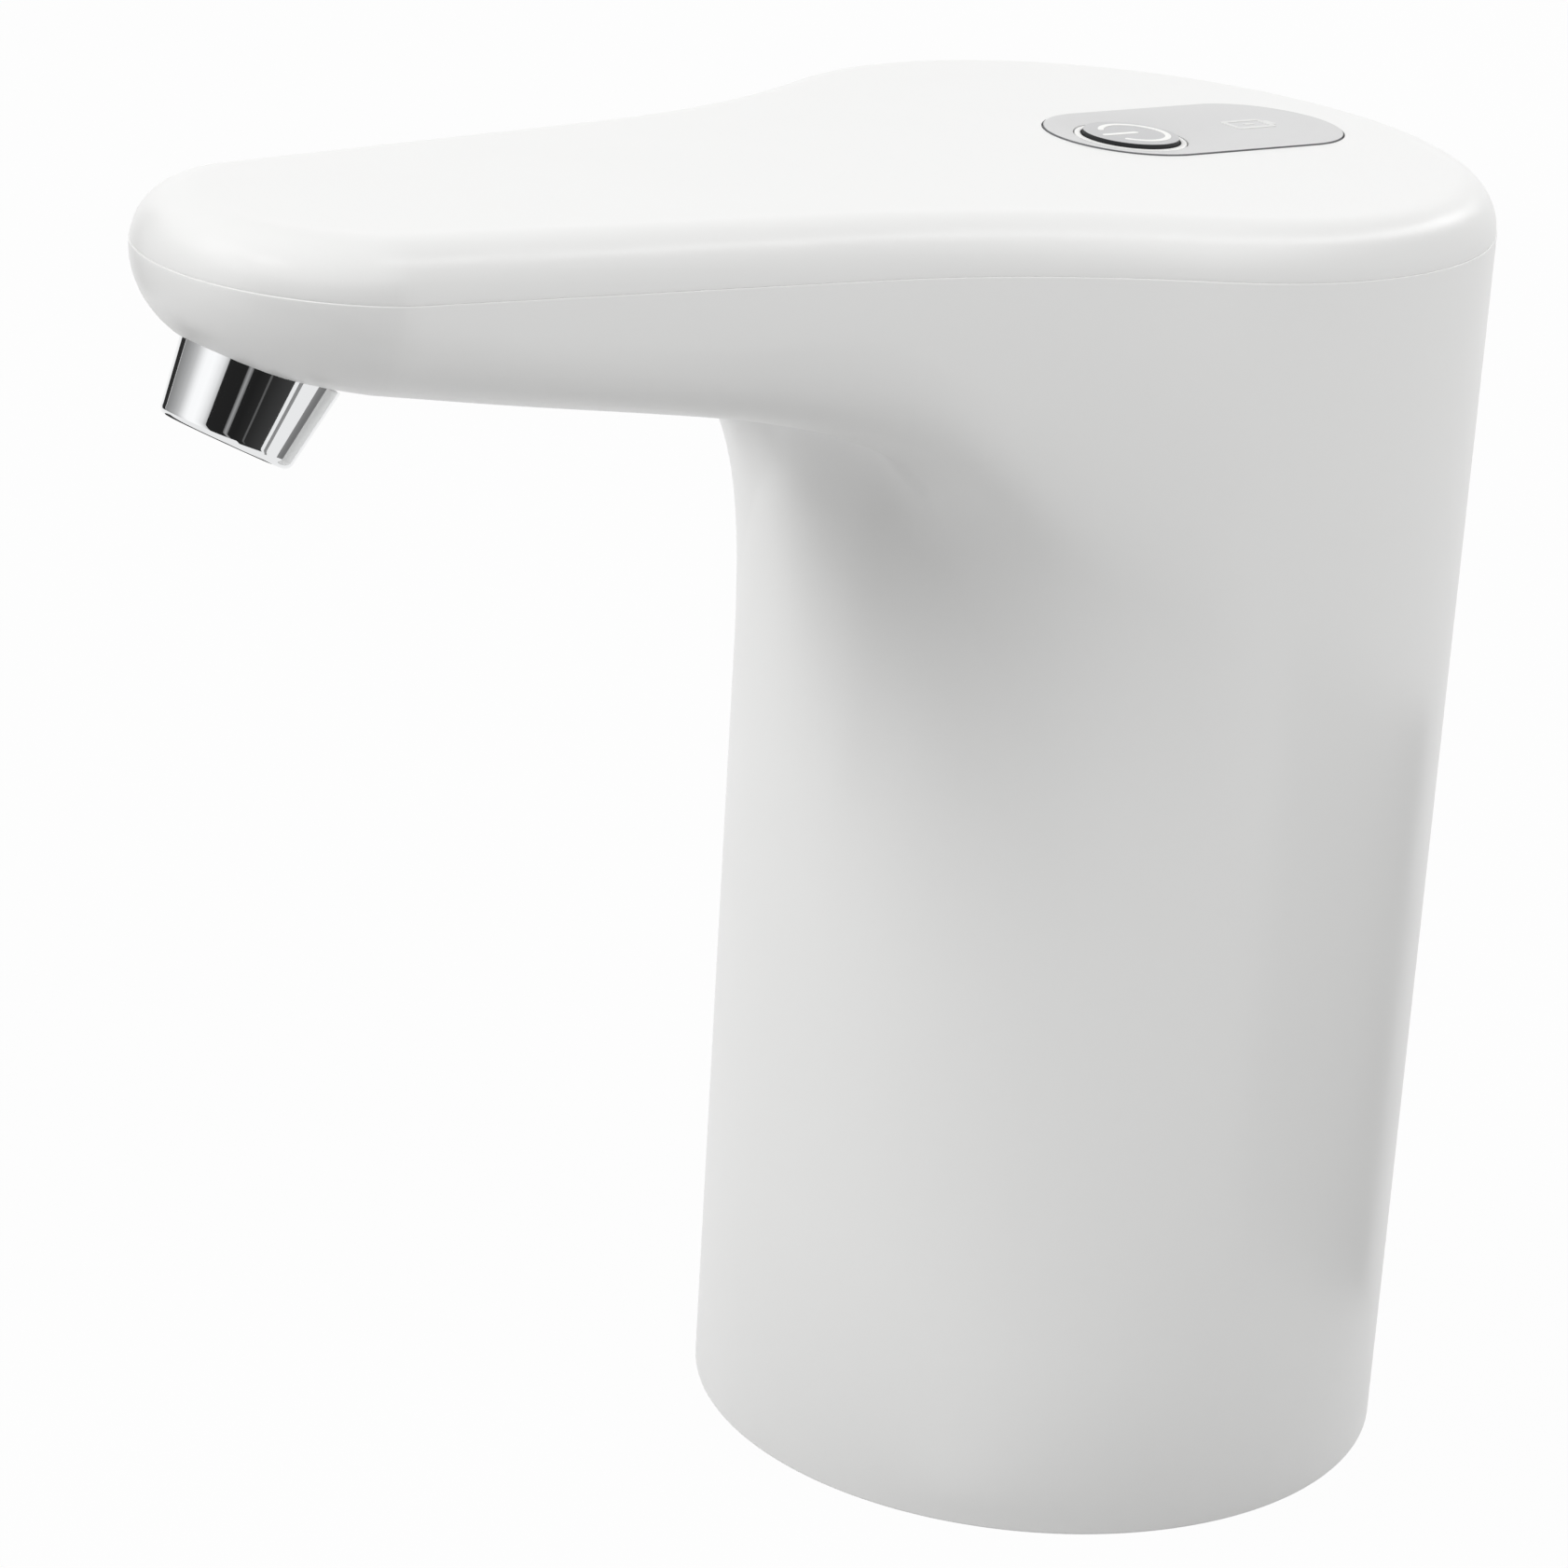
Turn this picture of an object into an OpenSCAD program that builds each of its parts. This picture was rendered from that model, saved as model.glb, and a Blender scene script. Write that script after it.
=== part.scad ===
// Electric water jug pump: a white column on the neck of a jug, with a spout arm and a chrome nozzle.
// Millimetres. Z is up, the spout points along -Y, the origin is the centre of the base on the neck axis.

/* [Jug neck] */
// From the outside of the base to the bore of the rubber sleeve that grips the neck of the jug
neck_wall = 6; // [5:0.1:9]
// Depth of the socket, from the base to the gasket
neck_depth = 28; // [24:1:30]
// Length of the sleeve's tight bore, from the base
grip_len = 16; // [10:1:18]
// Thickness of the rubber sleeve
sleeve_wall = 1.5; // [1:0.1:1.8]
// How much wider the sleeve is above its tight bore
grip_relief = 0.5; // [0.2:0.1:0.6]

/* [Column] */
// Outside diameter at the base
base_d = 68; // [66:0.5:74]
// How much wider the column is at the height of the arm
column_flare = 1.2; // [-1:0.1:4]
// Wall of the moulded shell
shell_wall = 2.2; // [1.8:0.1:2.4]
// Room from the battery's cradle to the top face, on the neck axis
head_space = 20.2; // [18:0.1:26]
// How much the top face rises toward the spout, degrees
head_tilt = 2.9; // [0:0.1:4]

/* [Head outline] */
// How far the round back of the head stands out beyond the column
head_over = 0.8; // [0:0.1:2.5]
// How far the centre of that round lies in front of the neck axis
head_shift = 1.9; // [0:0.1:4]
// Distance from the neck axis to the tip of the spout
spout_reach = 106.3; // [90:0.5:120]
// Half width of the spout arm, 60 mm in front of the neck axis
spout_half_w = 20.6; // [17:0.1:24]
// Half width that the arm loses per mm toward the tip
spout_taper = 0.11; // [0.04:0.01:0.14]
// Radius of the hollow sweep between the round back and the arm
flare_r = 86; // [40:1:120]
// Corner radius of the tip, as a share of its half width
tip_round = 0.58; // [0.4:0.01:0.7]
// Radius of the tip's front, as a share of its half width
tip_bulge = 1.14; // [1.05:0.01:1.6]

/* [Cover] */
// Height of the top cover above the parting line
cover_h = 4.7; // [4:0.1:6]
// Width of the rounding round the top face
edge_round = 4.9; // [3.5:0.1:6.5]
// Thickness of the top face
cover_top = 2.2; // [1.6:0.1:2.6]
// Depth of the locating lip below the parting line
lip_depth = 2; // [1:0.1:2.6]
// Thickness of the locating lip
lip_wall = 1.3; // [0.9:0.1:1.8]

/* [Arm underside] */
// How far the arm's underside lies below the top face, at the front of the column
arm_drop = 20; // [16:0.2:28]
// Rise of the underside per mm toward the tip
arm_rise = 0.18; // [0.1:0.005:0.25]
// Rounding of the arm's lower edge
arm_round = 8.5; // [4:0.1:10]
// The same where the blend runs out on the sides
flank_round = 10; // [5:0.1:13]
// Hollow fillet between arm and column at the front
front_fillet = 10.5; // [4:0.5:14]
// Hollow fillet where the blend runs out on the sides
side_fillet = 17; // [8:0.5:20]
// Angle from the front where the lower edge starts to drop, degrees
crease_start = 25; // [14:1:30]
// Angle from the front where the blend has run out, degrees
crease_end = 78; // [66:1:95]
// Drop of the lower edge per degree
crease_drop = 0.2; // [0.1:0.01:0.5]
// How far below that edge the blend meets the column on the sides
crease_depth = 11.5; // [6:0.5:16]
// How far the column is drawn in under the blend on the sides
crease_hollow = 0; // [0:0.1:1.4]

/* [Control panel] */
// Width of the grey inlay
panel_w = 16.4; // [13:0.1:20]
// Distance from the centre of its rear round end to the inside of the shell
panel_back = 15.2; // [11:0.1:20]
// Thickness of the inlay
panel_t = 0.9; // [0.6:0.1:1.2]
// How far the inlay stands above the top face
panel_rise = 0.12; // [0:0.02:0.3]
// Distance of the button in front of the neck axis
button_front = 0.8; // [0:0.1:4]
// Diameter of the button
button_d = 9; // [7:0.1:9.6]
// How far the button stands above the top face
button_rise = 0.15; // [0:0.05:0.8]
// Travel of the button
button_travel = 0.5; // [0.3:0.1:0.7]
// Width of the light ring round the button
ring_w = 0.55; // [0.4:0.05:1]
// How far the light ring lies below the top face
ring_drop = 0.25; // [0:0.05:0.5]
// Rim of the finger dish in the panel, as a share of the panel's half width
dish_rim = 0.95; // [0.8:0.01:0.97]
// Gap between the button and the light ring
button_gap = 0.2; // [0.15:0.05:0.4]
// Width of the lines of the two icons
icon_line = 0.55; // [0.3:0.05:0.6]

/* [Nozzle] */
// Distance of the nozzle's shoulder behind the tip of the spout
nozzle_back = 9.7; // [8:0.1:14]
// How far the nozzle's shoulder lies below the top face on the neck axis
nozzle_drop = 8.8; // [6:0.1:12]
// Forward tilt of the nozzle, degrees
nozzle_tilt = 28; // [20:0.5:34]
// Diameter at the shoulder
nozzle_top_d = 14.2; // [13.4:0.1:15]
// Diameter at the rim
nozzle_rim_d = 12; // [11.4:0.1:13]
// Length below the shoulder
nozzle_len = 7.1; // [5:0.1:9]

/* [Pump] */
// Module of the pump gears
gear_module = 0.8; // [0.76:0.01:0.82]
// Teeth of each gear
gear_teeth = 14; // [14:1:14]
// Height of the gears
gear_h = 8; // [6:0.5:9]
// Clearance of the gears in their chamber
gear_clear = 0.3; // [0.25:0.05:0.4]
// Running clearance of shafts and arbors, on the radius
run_clear = 0.05; // [0.03:0.01:0.1]
// Clearance between parts that are assembled to each other
fit_clear = 0.15; // [0.1:0.05:0.25]
// Distance of the pump gears in front of the neck axis
pump_front = 6; // [5:0.2:6.4]
// Diameter of the driven gear's arbor
arbor_d = 3; // [2.5:0.1:3.4]
// Outside diameter of the spigot for the suction tube
spigot_d = 8; // [6:0.1:8.4]
// Length of the spigot below the collar's floor
spigot_len = 11; // [8:1:13]

/* [Motor] */
// Diameter of the motor can
motor_d = 24.4; // [22:0.1:24.6]
// Length of the motor can
motor_len = 28; // [26:0.5:34]
// Diameter of the motor shaft
shaft_d = 2.3; // [2:0.1:3]

/* [Hose] */
// Outside diameter of the inner hose
hose_d = 8; // [7:0.1:8.2]
// Bore of the inner hose
hose_bore = 5; // [4.6:0.1:5.4]
// Bend radius of the inner hose
hose_bend = 13; // [11:0.5:14]
// Rise of the inner hose along the arm, degrees
hose_rise = 9.5; // [8:0.25:10]

/* [Battery] */
// Room between the battery's cradle and the shell
cradle_gap = 2.4; // [1:0.1:4]
// Length of the battery cell
cell_len = 65; // [50:1:66]

/* [Hidden] */
$fn = 64;
eps = 0.01;

// Column and levels above the base
base_r = base_d / 2;
neck_bore_d = base_d - 2 * neck_wall;
column_r = (base_d + column_flare) / 2;
head_r = column_r + head_over;
inner_r = min(base_r, column_r, head_r - head_shift) - shell_wall;
collar_r = inner_r - fit_clear;
collar_lift = 0.8;
floor_t = 2.5;
gasket_h = 2.2;
floor_z = neck_depth + 1 + gasket_h;
seal_h = 1;
ledge_h = 2.5;
ledge_w = 3.2;
ledge_z = floor_z + floor_t + seal_h;
plate_z = ledge_z + ledge_h;
plate_t = 2.5;
pump_z = plate_z + plate_t;
pump_cover_t = 3.5;
pump_gasket_t = 0.5;
gear_z = pump_z + pump_cover_t + pump_gasket_t + gear_clear;
chamber_top = gear_z + gear_h + gear_clear;
pump_roof_t = 4.9;
motor_z = chamber_top + pump_roof_t;
motor_top = motor_z + motor_len;
// The battery stands on the chassis plate, and the head's height follows from it
cradle_floor = 1.2;
cradle_roof = 0.9;
contact_t = 0.6;
cell_z = pump_z + cradle_floor + contact_t;
cradle_top = cell_z + cell_len + contact_t;
head_height = cradle_top + cradle_roof + head_space;
arm_z = head_height - arm_drop;
nozzle_z = head_height - nozzle_drop;
nozzle_front = spout_reach - nozzle_back;

// Spout outline: half width at the tip and the circles that it is drawn with
tip_half_w = spout_half_w - spout_taper * (spout_reach - 60);
tip_corner_r = tip_round * tip_half_w;
tip_front_r = tip_bulge * tip_half_w;
taper_len = sqrt(1 + spout_taper * spout_taper);
side_n = [1, -spout_taper] / taper_len;
head_c = [0, -head_shift];
tip_c = [0, tip_front_r - spout_reach];

function arm_side(y) = [spout_half_w + spout_taper * (y + 60), y];
// y of the point on the arm's side whose offset point lies at distance d from centre c
function side_y(offset, c, d) =
    let (
        o = arm_side(0) + offset * side_n - c,
        b = (o[0] * spout_taper + o[1]) / (taper_len * taper_len),
        k = (o[0] * o[0] + o[1] * o[1] - d * d) / (taper_len * taper_len)
    ) -b - sqrt(max(0, b * b - k));

flare_y = side_y(flare_r, head_c, head_r + flare_r);
flare_c = arm_side(flare_y) + flare_r * side_n;
corner_y = side_y(-tip_corner_r, tip_c, tip_front_r - tip_corner_r);
corner_c = arm_side(corner_y) - tip_corner_r * side_n;
back_end = atan2(flare_c[1] - head_c[1], flare_c[0] - head_c[0]);
side_angle = atan2(side_n[1], side_n[0]);
corner_end = atan2(corner_c[1] - tip_c[1], corner_c[0] - tip_c[0]);

// Stations of the outline: [x, y, outward normal x, outward normal y], from the back to the tip
function arc_stations(c, r, a0, a1, n, turn = 1) = [
    for (i = [0:n - 1])
        let (a = a0 + (a1 - a0) * i / n) [c[0] + r * cos(a), c[1] + r * sin(a), turn * cos(a), turn * sin(a)]
];
half_outline = concat(
    arc_stations(head_c, head_r, 90, back_end, 15),
    arc_stations(flare_c, flare_r, back_end + 180, side_angle + 180, 10, -1),
    [for (i = [0:5]) concat(arm_side(flare_y + (corner_y - flare_y) * i / 6), side_n)],
    arc_stations(corner_c, tip_corner_r, side_angle, corner_end, 9),
    arc_stations(tip_c, tip_front_r, corner_end, -90, 5),
    [[0, -spout_reach, 0, -1]]
);
half_n = len(half_outline);
outline = concat(
    half_outline,
    [for (i = [half_n - 2:-1:1]) let (p = half_outline[i]) [-p[0], p[1], -p[2], p[3]]]
);
station_n = len(outline);
function inset(d) = [for (p = outline) [p[0] - d * p[2], p[1] - d * p[3]]];

// Small helpers for the blended body
function ramp(x) = let (t = max(0, min(1, x))) t * t * (3 - 2 * t);
function mix(a, b, t) = a + (b - a) * t;
function unit(v) = v / max(norm(v), 0.001);
// From the head's own level frame to the frame of the part
function head_point(p) = [
    p[0],
    p[1] * cos(head_tilt) + p[2] * sin(head_tilt),
    head_height - p[1] * sin(head_tilt) + p[2] * cos(head_tilt)
];
// x where it is small and 1 where it is large, with a smooth change between
function capped(x) = x / pow(1 + pow(x, 8), 1 / 8);
// The point that far from a towards b, and never quite past it
function toward(a, b, reach) = a + (b - a) * capped(reach / max(norm(b - a), 0.001));
// Rounded corner from p to q about b
function corner(p, b, q, n) =
    let (w = sqrt(max(0.02, (1 - unit(p - b) * unit(q - b)) / 2)))
        [for (i = [0:n])
            let (t = i / n, k0 = (1 - t) * (1 - t), k1 = 2 * t * (1 - t) * w, k2 = t * t)
                (k0 * p + k1 * b + k2 * q) / (k0 + k1 + k2)];

// One upright section of the body at a station, from the base to the parting line; o is the wall depth
function body_section(s, o) =
    let (
        top = head_point([s[0] - o * s[2], s[1] - o * s[3], -cover_h]),
        a = atan2(abs(s[0]), -s[1]),
        ray = s[0] < 0 ? [-sin(a), -cos(a)] : [sin(a), -cos(a)],
        ease = 8,
        drop = crease_drop * (a < crease_start - ease ? 0
            : a < crease_start + ease ? pow(a - crease_start + ease, 2) / (4 * ease)
            : min(a, crease_end) - crease_start),
        side = ramp((a - 25) / (crease_end - 25)),
        fade = ramp((a - crease_end + 22) / 22),
        flank = ramp((a - 14) / 32),
        low = arm_z - drop + o,
        // lower edge of the side wall; the sides and back keep the plain straight wall
        edge_z = low + arm_rise * (-s[1] - base_r),
        base = concat(ray * (base_r - o), [0]),
        plain_edge = mix(base, top, edge_z / top[2]),
        draft = 0.03 * (top[2] - edge_z),
        wall_edge = [top[0] - draft * s[2], top[1] - draft * s[3], edge_z],
        edge = mix(wall_edge, plain_edge, side),
        // where the underside meets the column
        root_z = low - arm_rise * base_r * (1 - cos(a)) - crease_depth * flank,
        root_r = mix(base_r, column_r, root_z / arm_z) - crease_hollow * ramp((a - 22) / 28) - o,
        root = mix(concat(ray * root_r, [root_z]), mix(base, top, root_z / top[2]), fade),
        // the underside between them
        gap = norm([s[0], s[1]]) - column_r,
        in = (arm_round + 0.3) * capped(0.6 * gap / (arm_round + 0.3)) - o,
        soffit_y = edge[1] - in * s[3],
        soffit = [edge[0] - in * s[2], soffit_y, low + arm_rise * (-soffit_y - base_r)],
        mid = mix(soffit, (edge + root) / 2, ramp((a - 18) / 20)),
        foot = toward(root, base, mix(front_fillet, side_fillet, flank)),
        start = toward(edge, mid, mix(arm_round, flank_round, ramp((a - 20) / 25))),
        reach = norm(start - edge) * mix(1, 1.4, ramp((a - 16) / 10)),
        lower = corner(foot, root, toward(root, mid, front_fillet), 5),
        upper = corner(start, edge, toward(edge, top, reach), 5)
    ) concat([base, mix(base, lower[0], 0.5)], lower, [mid], upper, [top]);

// Closed skin between an outer and an inner list of sections
module skin(outer, inner) {
    n = len(outer);
    rows = len(outer[0]);
    function at(layer, k, r) = (layer * n + (k % n)) * rows + r;
    points = concat([for (s = outer) each s], [for (s = inner) each s]);
    sides = [for (k = [0:n - 1]) for (r = [0:rows - 2]) each [
        [at(0, k + 1, r), at(0, k + 1, r + 1), at(0, k, r)],
        [at(0, k + 1, r + 1), at(0, k, r + 1), at(0, k, r)],
        [at(1, k + 1, r), at(1, k, r), at(1, k + 1, r + 1)],
        [at(1, k + 1, r + 1), at(1, k, r), at(1, k, r + 1)]
    ]];
    top = rows - 1;
    rims = [for (k = [0:n - 1]) each [
        [at(0, k, top), at(0, k + 1, top), at(1, k, top)],
        [at(0, k + 1, top), at(1, k + 1, top), at(1, k, top)],
        [at(0, k + 1, 0), at(0, k, 0), at(1, k, 0)],
        [at(0, k + 1, 0), at(1, k, 0), at(1, k + 1, 0)]
    ]];
    polyhedron(points = points, faces = concat(sides, rims), convexity = 10);
}

// Head, nozzle and repeated shapes
module in_head() {
    translate([0, 0, head_height]) rotate([-head_tilt, 0, 0]) children();
}
module in_nozzle() {
    translate([0, -nozzle_front, nozzle_z]) rotate([-nozzle_tilt, 0, 0]) children();
}
module tube(r, bore_r, z0, z1) {
    translate([0, 0, z0]) difference() {
        cylinder(r = r, h = z1 - z0);
        translate([0, 0, -1]) cylinder(r = bore_r, h = z1 - z0 + 2);
    }
}
module post(r, z0, z1) {
    translate([0, 0, z0]) cylinder(r = r, h = z1 - z0);
}
// Stadium prism with its round ends on Y, from the button end to the back
module stadium_block(w, pitch, h) {
    cylinder(d = w, h = h);
    translate([0, pitch, 0]) cylinder(d = w, h = h);
    translate([-w / 2, 0, 0]) cube([w, pitch, h]);
}
// Slot with round ends along X, cut along Z
module slot(w, h, len) {
    for (s = [-1, 1]) translate([s * (w - h) / 2, 0, 0]) cylinder(d = h, h = len);
    translate([-(w - h) / 2, -h / 2, 0]) cube([w - h, h, len]);
}
// Pan head screw, head down at z0, shank up
module screw_up(d, head_d, head_h, len) {
    // cross recess in the head's face
    arm = 0.62 * head_d;
    slot = 0.16 * head_d;
    difference() {
        post(head_d / 2, 0, head_h);
        translate([-arm / 2, -slot / 2, -1]) cube([arm, slot, 1 + 0.5 * head_h]);
        translate([-slot / 2, -arm / 2, -1]) cube([slot, arm, 1 + 0.5 * head_h]);
    }
    post(d / 2, head_h - eps, head_h + len);
}

button_y = -button_front;
panel_pitch = inner_r - panel_back;
icon_y = button_y + 0.93 * panel_pitch;
board_z = -13;
board_t = 1.6;
boss_spots = [[10.3 - inner_r, -8], [inner_r - 10.3, -8], [0, inner_r - 11.3]];

// Outer mouldings
socket_w = 12;
socket_h = 6.6;
socket_z = board_z - board_t - 1.7;
nozzle_r = nozzle_top_d / 2;

module body_shell() {
    color("white") difference() {
        union() {
            skin([for (s = outline) body_section(s, 0)], [for (s = outline) body_section(s, shell_wall)]);
            difference() {
                post(inner_r + 0.6 * shell_wall, ledge_z, plate_z);
                post(inner_r - ledge_w, ledge_z - 1, plate_z + 1);
            }
        }
        // mouth for the charging plug
        in_head() translate([0, head_r - head_shift - 8, socket_z]) rotate([-90, 0, 0]) slot(socket_w, socket_h, 16);
        in_nozzle() post(nozzle_r + fit_clear, -8, 6);
    }
}

cover_rows = 5;
panel_r = panel_w / 2;
ring_r = button_d / 2 + button_gap + ring_w;
module top_cover() {
    color("white") in_head() difference() {
        union() {
            cover_skin();
            // locating lip, left off round the tip
            intersection() {
                translate([0, 0, -cover_h - lip_depth]) linear_extrude(cover_h + lip_depth - cover_top + 0.3)
                    difference() {
                        polygon(inset(shell_wall + 2 * fit_clear));
                        polygon(inset(shell_wall + 2 * fit_clear + lip_wall));
                    }
                translate([-60, tip_half_w + 20 - spout_reach, -20]) cube([120, 200, 30]);
            }
            for (p = boss_spots) translate([p[0], p[1], 0]) post(2.6, board_z, -cover_top + 0.3);
        }
        translate([0, button_y, panel_rise - panel_t]) stadium_block(panel_w + 2 * fit_clear, panel_pitch, 5);
        translate([0, button_y, 0]) post(ring_r + fit_clear, -8, 5);
        // window under the battery icon
        translate([0, icon_y, 0]) post(2, -8, 5);
        for (p = boss_spots) translate([p[0], p[1], 0]) post(0.9, board_z - 1, -cover_top);
    }
}
// Cover without its cut-outs, in the head's frame: rounded edge, flat top, open underneath
module cover_skin() {
    function ring(d, z) = [for (p = inset(d)) [p[0], p[1], z]];
    n = station_n;
    rings = concat(
        [ring(shell_wall, -cover_top), ring(shell_wall, -cover_h)],
        [for (i = [0:cover_rows])
            let (a = 90 * i / cover_rows) ring(edge_round * (1 - cos(a)), cover_h * (sin(a) - 1))]
    );
    last = len(rings) - 1;
    walls = [for (r = [0:last - 1]) for (k = [0:n - 1])
        let (p = r * n + k, q = r * n + (k + 1) % n) each [[q, q + n, p], [q + n, p + n, p]]];
    polyhedron(
        points = [for (r = rings) each r],
        faces = concat(walls, [[for (k = [0:n - 1]) last * n + k]], [[for (k = [n - 1:-1:0]) k]]),
        convexity = 6
    );
}

// Panel, button and electronics
module control_panel() {
    color("silver") in_head() translate([0, button_y, 0]) difference() {
        translate([0, 0, panel_rise - panel_t]) stadium_block(panel_w, panel_pitch, panel_t);
        post(ring_r + fit_clear, -3, 2);
        // finger dish from the rim down to the ring
        dish_w = dish_rim * panel_w / 2 - ring_r - fit_clear;
        translate([0, 0, -ring_drop]) cylinder(r1 = ring_r + fit_clear, r2 = ring_r + fit_clear + 2 * dish_w,
            h = 2 * (ring_drop + panel_rise));
    }
}
guide_bottom = -6;
module light_ring() {
    color("white") in_head() translate([0, button_y, 0]) difference() {
        union() {
            post(ring_r, guide_bottom, -ring_drop);
            post(ring_r + 1.6, -cover_top - 1.5, -cover_top);
        }
        post(button_d / 2 + button_gap, guide_bottom - 1, 1);
    }
}
flange_top = guide_bottom - 0.3;
stem_bottom = -9.4;
module power_button() {
    color("lightgray") in_head() translate([0, button_y, 0]) {
        post(button_d / 2, flange_top - 1, button_rise - 0.3);
        translate([0, 0, button_rise - 0.3 - eps]) cylinder(r1 = button_d / 2, r2 = button_d / 2 - 0.3, h = 0.3);
        post(ring_r + 0.8, flange_top - 1.2, flange_top);
        post(1.6, stem_bottom, flange_top);
    }
}
icon_t = 0.04;
icon_r = 0.7 * button_d / 2;
icon_back = 0.4;
module power_icon() {
    color("white") in_head() translate([0, button_y, button_rise]) {
        // open ring, gap toward the spout, and its bar
        translate([0, icon_back, 0]) difference() {
            tube(icon_r + icon_line / 2, icon_r - icon_line / 2, 0, icon_t);
            translate([-0.6 * icon_r, -5, -1]) cube([1.2 * icon_r, 5, 2]);
        }
        translate([-icon_line / 2, icon_back - 1.15 * icon_r, 0]) cube([icon_line, 1.2 * icon_r, icon_t]);
    }
}
module battery_icon() {
    w = 3;
    l = 5;
    color("white") in_head() translate([0, icon_y, panel_rise]) {
        difference() {
            translate([-w / 2, -l / 2, 0]) cube([w, l, icon_t]);
            translate([icon_line - w / 2, icon_line - l / 2, -1]) cube([w - 2 * icon_line, l - 2 * icon_line, 2]);
        }
        translate([-0.7, l / 2 - eps, 0]) cube([1.4, icon_line, icon_t]);
        // charge mark inside the outline
        translate([-icon_line / 2, -0.6, 0]) cube([icon_line, 1.2, icon_t]);
    }
}
switch_h = 2.8;
plunger_r = 1.4;
module tact_switch() {
    color("dimgray") in_head() translate([0, button_y, board_z]) difference() {
        translate([-3, -3, 0]) cube([6, 6, switch_h]);
        post(plunger_r + 0.3, 0.4, switch_h + 1);
    }
}
module switch_plunger() {
    color("black") in_head() translate([0, button_y, 0])
        post(plunger_r, board_z + 0.7 + button_travel, stem_bottom - 0.02);
}
board_r = inner_r - 5.3;
board_front = -18;
module circuit_board() {
    color("darkgreen") in_head() translate([0, 0, board_z - board_t]) difference() {
        intersection() {
            union() {
                cylinder(r = board_r, h = board_t);
                translate([-8, 0, 0]) cube([16, inner_r - 3, board_t]);
            }
            translate([-40, board_front, -1]) cube([80, 80, 10]);
        }
        for (p = boss_spots) translate([p[0], p[1], 0]) post(1.2, -1, 5);
    }
}
module board_screws() {
    color("silver") in_head() for (p = boss_spots)
        translate([p[0], p[1], board_z - board_t - 1.4]) screw_up(1.78, 4, 1.4, 5.5);
}
module indicator_leds() {
    color("ivory") in_head() {
        for (a = [45:90:315])
            translate([6 * cos(a) - 0.8, button_y + 6 * sin(a) - 0.8, board_z]) cube([1.6, 1.6, 0.8]);
        translate([-0.8, icon_y - 0.8, board_z]) cube([1.6, 1.6, 0.8]);
    }
}
module charge_socket() {
    color("silver") in_head()
        translate([0, inner_r - 7.3 - 0.9, board_z - board_t - 1.65]) rotate([-90, 0, 0]) difference() {
            slot(9.3, 3.3, 7.3);
            translate([0, 0, 1]) slot(8.5, 2.5, 7);
        }
}

// Base and chassis
sleeve_r = neck_bore_d / 2 + sleeve_wall;
clamp_r = sleeve_r - 10.5;
clamp_spots = [for (a = [90, 210, 330]) [clamp_r * cos(a), clamp_r * sin(a)]];
clamp_d = 3;
module neck_collar() {
    color("whitesmoke") difference() {
        post(collar_r, collar_lift, floor_z + floor_t);
        post(sleeve_r + 0.02, -1, floor_z);
        post(spigot_r + fit_clear, floor_z - 1, floor_z + 5);
        for (p = clamp_spots) translate([p[0], p[1], 0]) post(clamp_d / 2 + 0.2, floor_z - 1, floor_z + 5);
    }
}
module neck_sleeve() {
    color("gainsboro") difference() {
        post(sleeve_r, 0, neck_depth);
        post(neck_bore_d / 2, -1, grip_len + 1);
        post(neck_bore_d / 2 + grip_relief, grip_len, neck_depth + 1);
    }
}
module neck_gasket() {
    color("gainsboro") tube(sleeve_r - fit_clear, clamp_r + 3.4, floor_z - gasket_h, floor_z - 0.01);
}
module floor_gasket() {
    color("gainsboro") tube(inner_r - 0.4, inner_r - ledge_w + 0.1, floor_z + floor_t + 0.01, ledge_z - 0.01);
}
spigot_r = spigot_d / 2;
neck_r = 3.4;
web_t = 1.5;
web_y = motor_d / 2 - pump_front + 0.2;
web_top = arm_z - 4.2;
strap_x = motor_d / 2 + 5.6;
motor_x = -gear_module * gear_teeth / 2;
strap_z = motor_z + 0.4 * motor_len;
strap_h = 8;
module chassis() {
    color("lightgray") difference() {
        union() {
            post(inner_r - 0.5, plate_z, pump_z);
            for (p = clamp_spots) translate([p[0], p[1], 0]) post(4, floor_z + floor_t + 0.02, plate_z + 0.2);
            translate([motor_x - strap_x - 3, web_y, plate_z]) cube([2 * strap_x + 6, web_t, web_top - plate_z]);
        }
        post(neck_r + fit_clear, plate_z - 1, pump_z + 1);
        for (p = clamp_spots) translate([p[0], p[1], 0]) post(clamp_d / 2 - 0.2, floor_z, pump_z - 0.6);
        for (x = [-strap_x, strap_x]) translate([motor_x + x, web_y - 1, strap_z + strap_h / 2])
            rotate([-90, 0, 0]) cylinder(r = 0.9, h = web_t + 2);
    }
}
module chassis_screws() {
    color("silver") for (p = clamp_spots) translate([p[0], p[1], floor_z - 2.2])
        screw_up(clamp_d - 0.42, 5.2, 2.2, floor_t + 4.6);
}

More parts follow.
